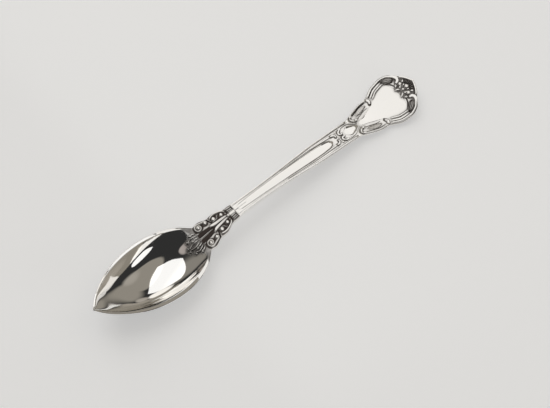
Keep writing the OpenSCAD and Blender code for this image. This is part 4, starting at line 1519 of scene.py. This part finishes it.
@dataclass
class Head:
    """Head of the handle: plain shield, side scrolls with leaves, borders, mouldings and shells."""

    shop: Workshop
    shield: Strip = Strip(0, 0.25, Section.PANEL, height_ends=(0.15, 0.1), step=0.14, across=61)
    side_scroll: Strip = Strip(0.62, 0.6, width_ends=(0.08, 0.6), height_ends=(0.1, 0.7), step=0.07,
                               swells=(Swell(0.22, -0.1, 0.3), Swell(0.78, 0.1, 0.5)))
    side_leaf: Strip = Strip(2.1, 0.42, Section.LOW_BAND, (0.5, 0.3), (0.2, 0.2), hatch=(0.4, 15, 1.2),
                             step=0.05, across=29)
    border: Strip = Strip(0.7, 0.6, width_ends=(0.06, 0.7), height_ends=(0.08, 0.8), step=0.07, across=19,
                          swells=(Swell(0.72, 0.1, 0.5),))
    cove: Strip = Strip(0.85, 0.28, Section.LOW_BAND, height_ends=(0.15,), step=0.1)
    inner_rib: Strip = Strip(0.6, 0.42, height_ends=(0.15,), step=0.1)
    shell: Strip = Strip(2.3, 0.5, Section.FLUTES, (0.2, 0.4), (0.3, 0.2), across=41)
    shell_root: float = 0.35
    shell_opening: float = 1.6
    # Dark pairs: patina and painted shade of flanks and tops.
    scroll_dark: tuple = (0.6, 0)
    leaf_dark: tuple = (0.35, 0.1)
    shell_dark: tuple = (1, 0.45)
    low_hook: tuple = ((0.294, 0.4), (0.264, 0.38), (0.24, 0.5), (0.226, 0.68), (0.236, 0.82))
    high_hook: tuple = ((0.49, 0.93), (0.515, 0.86), (0.527, 0.72), (0.514, 0.59))
    border_hook: tuple = ((0.885, 0.87), (0.89, 0.72), (0.877, 0.56), (0.852, 0.45))
    shell_shares: tuple = ((0.745, 0.82), (0.785, 0.76), (0.822, 0.7), (0.845, 0.6))
    shield_shares: tuple = ((0.27, 0.12), (0.32, 0.22), (0.4, 0.33), (0.49, 0.48), (0.56, 0.6), (0.64, 0.67),
                            (0.71, 0.69), (0.76, 0.62), (0.79, 0.42), (0.8, 0.2))
    shield_points: int = 80
    scroll_rail: tuple = (0.265, 0.465, 12, 0.465)
    leaf_rail: tuple = (0.275, 0.46, 60, 2.125)
    border_rail: tuple = (0.53, 0.86, 14, 0.713)
    cove_rail: tuple = (0.53, 0.74, 60, 1.7)
    inner_rail: tuple = (0.53, 0.775, 60, 2.62)
    cuts: tuple = (EdgeCut(0.27, 0.475, 0.961, 0.42, 0.26), EdgeCut(0.27, 0.46, 3.25, 0.3, 0.12),
                   Cut(low_hook[1:], 1.7, 0.3, smooth=True), Cut(high_hook[1:], 1.8, 0.3, smooth=True),
                   Cut(border_hook, 1.9, 0.3, smooth=True), EdgeCut(0.535, 0.76, 1.16, 0.34, 0.2),
                   EdgeCut(0.54, 0.775, 2.24, 0.24, 0.16), EdgeCut(0.54, 0.78, 3.02, 0.26, 0.16),
                   Cut(((0.78, 0.62), (0.805, 0.52), (0.82, 0.4), (0.825, 0.3)), 0.7, 0.3))
    # Weights of patina and painted shade on the head's ground.
    shade_and_tarnish_shares: tuple = ((0, 0.35), (0.1, 0.12), (0.16, 0.12), (0.28, 0.5), (0.7, 0.5), (0.8, 1.4), (1, 1.4))
    ring_step: float = 0.12
    across: int = 151

    def rail(self, sizes: tuple) -> np.ndarray:
        """Path along the outline, from the shares of its ends, its number of points and its inset."""
        form = self.shop.form
        return form.rail(form.head_at(sizes[0]), form.head_at(sizes[1]), *sizes[2:])

    def shield_width(self, t: np.ndarray) -> np.ndarray:
        """Works out the width of the shield.

        Args:
            t: Shares of its length.

        Returns:
            Widths in mm.
        """
        form = self.shop.form
        first, last = self.shield_shares[0][0], self.shield_shares[-1][0]
        a = first + (last - first) * t
        return 2 * along(self.shield_shares, a) * form.half_width(form.head_at(a))

    def shell_width(self, t: np.ndarray) -> np.ndarray:
        """Width of a shoulder shell, which opens from its root."""
        return self.shell.widths(t) * np.clip(self.shell_root + self.shell_opening * t, 0, 1)

    def parts(self) -> list[StruckPart]:
        """Works out the ornaments of the head.

        Returns:
            The shield, scrolls, leaves, borders, mouldings and shells.
        """
        form = self.shop.form
        head = form.head_at
        middle = midline(head(self.shield_shares[0][0]), head(self.shield_shares[-1][0]), self.shield_points)
        scroll = rounded(np.vstack([form.on(head, self.low_hook), self.rail(self.scroll_rail),
                                    form.on(head, self.high_hook)]))
        border = rounded(np.vstack([self.rail(self.border_rail), form.on(head, self.border_hook)]))
        mouldings = [self.cove.laid(self.rail(self.cove_rail)),
                     self.inner_rib.laid(self.rail(self.inner_rail))]
        shield = self.shield.laid(middle, self.shield_width)
        leaf = self.side_leaf.laid(self.rail(self.leaf_rail))
        shell = self.shell.laid(form.path(head, self.shell_shares), self.shell_width)
        return [
            StruckPart("shield_panel", [shield], MIRROR_POLISH, paired=False),
            StruckPart("side_scroll", [self.side_scroll.laid(scroll)], dark=self.scroll_dark),
            StruckPart("side_leaf", [leaf], STRUCK_WORK, self.leaf_dark),
            StruckPart("head_border", [self.border.laid(border)], dark=self.scroll_dark),
            StruckPart("head_moulding", mouldings, dark=self.scroll_dark),
            StruckPart("shoulder_shell", [shell], STRUCK_WORK, self.shell_dark),
        ]

    def grooves(self) -> None:
        """Cuts the lines under the side scrolls and inside the borders and mouldings."""
        for cut in self.cuts:
            cut.carve(self.shop.relief, self.shop.form.head_at)

    def build(self) -> None:
        """Builds the plate of the head."""
        form = self.shop.form
        ground_shade_and_tarnish = [(form.head_at(at), share) for at, share in self.shade_and_tarnish_shares]
        skin = self.shop.plate(form.knot_at, form.length, self.ring_step, self.across, ground_shade_and_tarnish=ground_shade_and_tarnish,
                               pointed=True)
        self.shop.piece("head_plate", skin, BRIGHT_WORK, "handle_head")


@dataclass
class Crest:
    """Crest at the tip: a rim round a fan of flutes, with a small flower and leaves before it."""

    shop: Workshop
    rim: Strip = Strip(0.7, 0.6, width_ends=(0.05,), height_ends=(0.06,), step=0.08)
    rim_ends: tuple = (0.922, 0.984)
    rim_points: int = 40
    rim_inset: float = 0.496
    rim_line_ends: tuple = (0.915, 0.982)
    rim_line_points: int = 60
    rim_line_inset: float = 1.023
    rim_line: tuple = (0.4, 0.25)
    # Dark pairs here and below: patina and painted shade of flanks and tops.
    rim_dark: tuple = (0.3, 0)
    flutes: int = 9
    fan_angle: float = 58.0
    fan_start: float = 2.3625
    fan_end_share: float = 0.985
    fan_end_gap: float = 0.713
    fan_overlap: float = 0.1
    flute_width_share: float = 1.7
    flute_heights: tuple = (0.56, 0.36)
    flute_ends: tuple = (0.2, 0.3)
    flute_step: float = 0.06
    flute_across: int = 13
    fan_dark: tuple = (1, 0.6)
    heart_share: float = 0.866
    petal_height: float = 0.8
    petals: tuple = ((0.906, 0, 0.68), (0.872, 0.32, 0.58), (0.858, 0, 0.4))
    leaf: Strip = Strip(0.675, 0.6, width_ends=(0.5, 0.3), height_ends=(0.4, 0.3), step=0.05, across=19)
    flower_dark: tuple = (1, 0)
    leaf_shares: tuple = (((0.785, 0.2), (0.8, 0.18), (0.82, 0.14), (0.836, 0.06)),
                          ((0.897, 0.36), (0.912, 0.48), (0.921, 0.62)),
                          ((0.843, 0.08), (0.85, 0.17), (0.862, 0.2), (0.874, 0.15)),
                          ((0.815, 0.27), (0.83, 0.33), (0.84, 0.42)),
                          ((0.883, 0.13), (0.895, 0.19), (0.91, 0.22)))
    cuts: tuple = (Cut(((0.925, 0.1), (0.92, 0.3), (0.905, 0.55), (0.9, 0.7)), 1.5, 0.3),
                   Cut(((0.85, 0.26), (0.86, 0.4)), 0.9, 0.3), Cut(((0.87, 0.1), (0.885, 0.1)), 0.5, 0.25))

    def tip_rail(self, ends: tuple, count: int, inset: float) -> np.ndarray:
        """Works out a path along the left half of the tip, with its points closer towards the middle line.

        Args:
            ends: Shares of the head's length where it starts and ends.
            count: How many points it has.
            inset: Its distance inside the outline in mm.

        Returns:
            Points [s, y] in mm.
        """
        first, last = (self.shop.form.head_at(end) for end in ends)
        t = np.sin(np.pi / 2 * np.linspace(0, 1, count))
        return self.shop.form.inside(first + (last - first) * t, inset)

    def flute_height(self, t: np.ndarray) -> np.ndarray:
        """Height of a flute at shares of its length, falling towards the rim."""
        near, far = self.flute_heights
        return (near * (1 - t) + far * t) * eased(t, *self.flute_ends)

    def fan(self) -> list[Ornament]:
        """Works out the flutes of the fan.

        Returns:
            One form for each flute, from right to left.
        """
        head = self.shop.form.head_at
        heart = np.array([head(self.heart_share), 0.0])
        start, reach = self.fan_start, head(self.fan_end_share) - heart[0] - self.fan_end_gap
        half_angle = math.radians(self.fan_angle)
        pitch = 2 * half_angle / self.flutes
        made = []
        for k in range(self.flutes):
            a = (k + 0.5) * pitch - half_angle
            way = np.array([math.cos(a), math.sin(a)])
            path = np.array([heart + start * way, heart + (reach + self.fan_overlap) * way])
            made.append(Ornament(
                path, lambda t: self.flute_width_share * (start + (reach - start) * t) * math.sin(pitch / 2),
                self.flute_height, step=self.flute_step, across=self.flute_across))
        return made

    def flower(self) -> list[Ornament]:
        """Works out the flower.

        Returns:
            One bead for each petal.
        """
        form = self.shop.form
        made = []
        for share, out, radius in self.petals:
            at = form.on(form.head_at, ((share, out),))[0]
            sides = (-1, 1) if out else (1,)
            made += [bead(at * np.array([1, side]), radius, self.petal_height) for side in sides]
        return made

    def parts(self) -> list[StruckPart]:
        """Works out the ornaments of the crest.

        Returns:
            The rim, the fan, the flower and the leaves.
        """
        form = self.shop.form
        half = self.tip_rail(self.rim_ends, self.rim_points, self.rim_inset)
        rim = np.vstack([half, [(form.length - self.rim_inset, 0)], half[::-1] * np.array([1, -1])])
        leaves = [self.leaf.laid(form.path(form.head_at, shares)) for shares in self.leaf_shares]
        return [
            StruckPart("crest_rim", [self.rim.laid(rim)], dark=self.rim_dark, paired=False),
            StruckPart("crest_fan", self.fan(), STRUCK_WORK, self.fan_dark, paired=False),
            StruckPart("crest_flower", self.flower(), STRUCK_WORK, self.flower_dark, paired=False),
            StruckPart("crest_leaf", leaves, STRUCK_WORK, self.flower_dark),
        ]

    def grooves(self) -> None:
        """Sinks the ground round the flower and behind the rim."""
        for cut in self.cuts:
            cut.carve(self.shop.relief, self.shop.form.head_at)
        path = self.tip_rail(self.rim_line_ends, self.rim_line_points, self.rim_line_inset)
        self.shop.relief.groove(path, *self.rim_line)


@dataclass(frozen=True)
class Area:
    """A round area of the surroundings, full within its inner reach and gone beyond its outer one."""

    way: tuple
    inner: float
    outer: float
    colour: tuple


@dataclass(frozen=True)
class Softbox:
    """A lamp: its direction in degrees, its distance and size in metres, and how bright its face shows."""

    name: str
    way: tuple
    distance: float
    size: tuple
    strength: float
    roll: float = 0.0
    face: LampFace = LampFace.RECTANGLE


@dataclass
class Studio:
    """Pale floor, soft lamps and the camera at the photograph's viewing angle, in metres and degrees."""

    target: tuple = (0.00352, -0.00384, 0.0)
    azimuth: float = -40.12
    elevation: float = 64.0
    distance: float = 0.5696
    focal_pixels: float = 1602.4
    image_width: int = 550
    sensor_width: float = 36.0
    clip_start: float = 0.01
    floor_half: float = 6.0
    floor_roughness: float = 0.75
    floor_grain: Grain = Grain((1, 1, 1), 9.0, 2.0)
    floor_tones: tuple = ((0.84, 0.84, 0.83, 1), (0.87, 0.87, 0.86, 1))
    floor_glow: float = 0.48
    floor_glow_colour: tuple = (1.0, 0.995, 0.985, 1)
    sheet_foot: tuple = (-0.034, 0.0, 0.012)
    sheet_head: tuple = (0.566, 0.0, 0.54)
    sheet_sides: tuple = (-0.07, 0.25)
    sheet_tones: tuple = (0.9, 0.97)
    sheet_tone_top: float = 0.3
    sheet_colour: tuple = (1.0, 0.985, 0.96, 1)
    bowl_middle: tuple = (-0.046, 0, 0.004)
    softboxes: tuple = (Softbox("tall softbox", (77.0, 57.6), 1.6, (0.98, 1.3), 1.0, roll=-21.0),
                        Softbox("slim softbox", (-71.0, 19.0), 0.8, (0.34, 0.27), 1.05,
                                face=LampFace.ELLIPSE))
    dark: tuple = (0.03, 0.03, 0.03)
    areas: tuple = (
        Area((105, 38), 16, 30, (0.24, 0.225, 0.2)),
        Area((12, 26), 17, 30, (0.28, 0.26, 0.225)),
        Area((46, 19), 5, 11, (0.38, 0.35, 0.31)),
        Area((66, 25), 9, 13, (1.0, 0.97, 0.92)),
        Area((-9, 59), 28, 31, (0.28, 0.26, 0.225)),
        Area((-24, 43), 2, 22, (0.37, 0.345, 0.305)),
        Area((155, 60), 5, 8, (0.4, 0.36, 0.34)),
        Area((0, -90), 89.5, 92, (0.62, 0.59, 0.555)),
    )

    def camera(self) -> None:
        """Sets the camera."""
        az, el = math.radians(self.azimuth), math.radians(self.elevation)
        back = Vector((math.sin(az) * math.cos(el), -math.cos(az) * math.cos(el), math.sin(el)))
        data = bpy.data.cameras.new("photo camera")
        data.sensor_width = self.sensor_width
        data.lens = self.focal_pixels * self.sensor_width / self.image_width
        data.clip_start = self.clip_start
        camera = bpy.data.objects.new("photo camera", data)
        camera.location = Vector(self.target) + self.distance * back
        camera.rotation_euler = back.to_track_quat("Z", "Y").to_euler()
        bpy.context.scene.collection.objects.link(camera)
        bpy.context.scene.camera = camera

    @staticmethod
    def sheet(name: str, corners: Sequence, mat: bpy.types.Material) -> bpy.types.Object:
        """Makes a flat sheet of the studio.

        Args:
            name: Name of the sheet.
            corners: Its four corners in metres.
            mat: Its material.

        Returns:
            The new object.
        """
        mesh = bpy.data.meshes.new(name)
        mesh.from_pydata(corners, [], [(0, 1, 2, 3)])
        mesh.materials.append(mat)
        made = bpy.data.objects.new(name, mesh)
        bpy.context.scene.collection.objects.link(made)
        return made

    def floor(self) -> None:
        """Lays the pale floor, whose low glow is for what the camera sees and what the silver mirrors."""
        mat, board = NodeBoard.of_material("pale studio floor")
        place = board.add("TexCoord").outputs["Object"]
        tone = board.mix(board.noise(place, self.floor_grain), *self.floor_tones)
        path = board.add("LightPath").outputs
        mirrored = board.math("ADD", path["Is Glossy Ray"], path["Is Transmission Ray"])
        seen = board.math("ADD", path["Is Camera Ray"], mirrored)
        shader = board.add("BsdfPrincipled", {
            "Base Color": tone, "Roughness": self.floor_roughness, "Emission Color": self.floor_glow_colour,
            "Emission Strength": board.math("MULTIPLY", seen, self.floor_glow)})
        board.add("OutputMaterial", {"Surface": shader.outputs["BSDF"]})
        half = self.floor_half
        corners = [(-half, -half, 0), (half, -half, 0), (half, half, 0), (-half, half, 0)]
        floor = self.sheet("studio_floor", corners, mat)

    def lamp(self, box: Softbox) -> None:
        """Sets a softbox; its power makes its face as bright as its strength says, where 1 is white.

        Args:
            box: Sizes of the softbox.
        """
        back = self.toward(box.way)
        fill = math.pi / 4 if box.face is LampFace.ELLIPSE else 1
        data = bpy.data.lights.new(box.name, "AREA")
        data.shape = box.face.value
        data.size, data.size_y = box.size
        data.energy = box.strength * box.size[0] * box.size[1] * math.pi * fill
        lamp = bpy.data.objects.new(box.name, data)
        lamp.location = Vector(self.bowl_middle) + box.distance * back
        lamp.rotation_mode = "QUATERNION"
        own_turn = Quaternion((0, 0, 1), math.radians(box.roll))
        lamp.rotation_quaternion = back.to_track_quat("Z", "Y") @ own_turn
        lamp.visible_camera = False
        bpy.context.scene.collection.objects.link(lamp)

    def awning(self) -> None:
        """Leans a pale one-sided sheet over the handle, which only the silver in front of it shows."""
        foot, head = Vector(self.sheet_foot), Vector(self.sheet_head)
        right, left = (Vector((0, y, 0)) for y in self.sheet_sides)
        mat, board = NodeBoard.of_material("pale studio sheet")
        place = board.add("TexCoord").outputs["Object"]
        up = board.add("SeparateXYZ", {0: place}).outputs["Z"]
        strength = board.ramp(up, foot.z, self.sheet_tone_top, self.sheet_tones)
        glow = board.add("Emission", {"Color": self.sheet_colour, "Strength": strength}).outputs[0]
        clear = board.add("BsdfTransparent").outputs[0]
        sides = board.add("NewGeometry").outputs["Backfacing"]
        mix = board.add("MixShader", {"Fac": sides, 1: glow, 2: clear}).outputs[0]
        board.add("OutputMaterial", {"Surface": mix})
        sheet = self.sheet("studio_awning", [foot + right, foot + left, head + left, head + right], mat)
        sheet.visible_camera = sheet.visible_diffuse = sheet.visible_shadow = False

    @staticmethod
    def toward(way: tuple) -> Vector:
        """Unit direction of an azimuth from +X and an elevation, in degrees."""
        az, el = math.radians(way[0]), math.radians(way[1])
        return Vector((math.cos(az) * math.cos(el), math.sin(az) * math.cos(el), math.sin(el)))

    def world(self) -> None:
        """Sets the plain surroundings: a dark room with soft pale areas, pale low down."""
        world = bpy.data.worlds.new("studio surroundings")
        world.use_nodes = True
        board = NodeBoard(world.node_tree)
        place = board.add("TexCoord").outputs["Generated"]
        tone = (*self.dark, 1)
        for area in self.areas:
            dot = board.add("VectorMath", {0: place, 1: self.toward(area.way)}, operation="DOT_PRODUCT")
            share = board.ramp(dot.outputs["Value"], math.cos(math.radians(area.outer)),
                               math.cos(math.radians(area.inner)), kind="SMOOTHSTEP")
            tone = board.mix(share, tone, (*area.colour, 1))
        back = board.add("Background", {"Color": tone})
        board.add("OutputWorld", {"Surface": back.outputs["Background"]})
        bpy.context.scene.world = world

    def build(self) -> None:
        """Sets up the whole studio."""
        self.camera()
        self.floor()
        self.world()
        for box in self.softboxes:
            self.lamp(box)
        self.awning()
        scene = bpy.context.scene
        scene.view_settings.view_transform = "Standard"
        scene.cycles.caustics_reflective = False


def main() -> None:
    """Builds the studio and the spoon, in order."""
    logging.basicConfig(level=logging.INFO, format="%(name)s %(message)s")
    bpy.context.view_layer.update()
    Studio().build()
    form = SpoonForm()
    relief = Relief(form)
    shop = Workshop(form, relief)
    bowl, neck, stem, head, crest = Bowl(shop), Neck(shop), Stem(shop), Head(shop), Crest(shop)
    bowl.stamp()
    parts: list[StruckPart] = []
    for region in (neck, stem, head, crest):
        region.grooves()
        parts += region.parts()
    for part in parts:
        for ornament in part.ornaments:
            relief.stamp(ornament)
    relief.settle()
    for region in (bowl, neck, stem, head):
        region.build()
    for part in parts:
        part.build(shop)


if __name__ == "__main__":
    main()
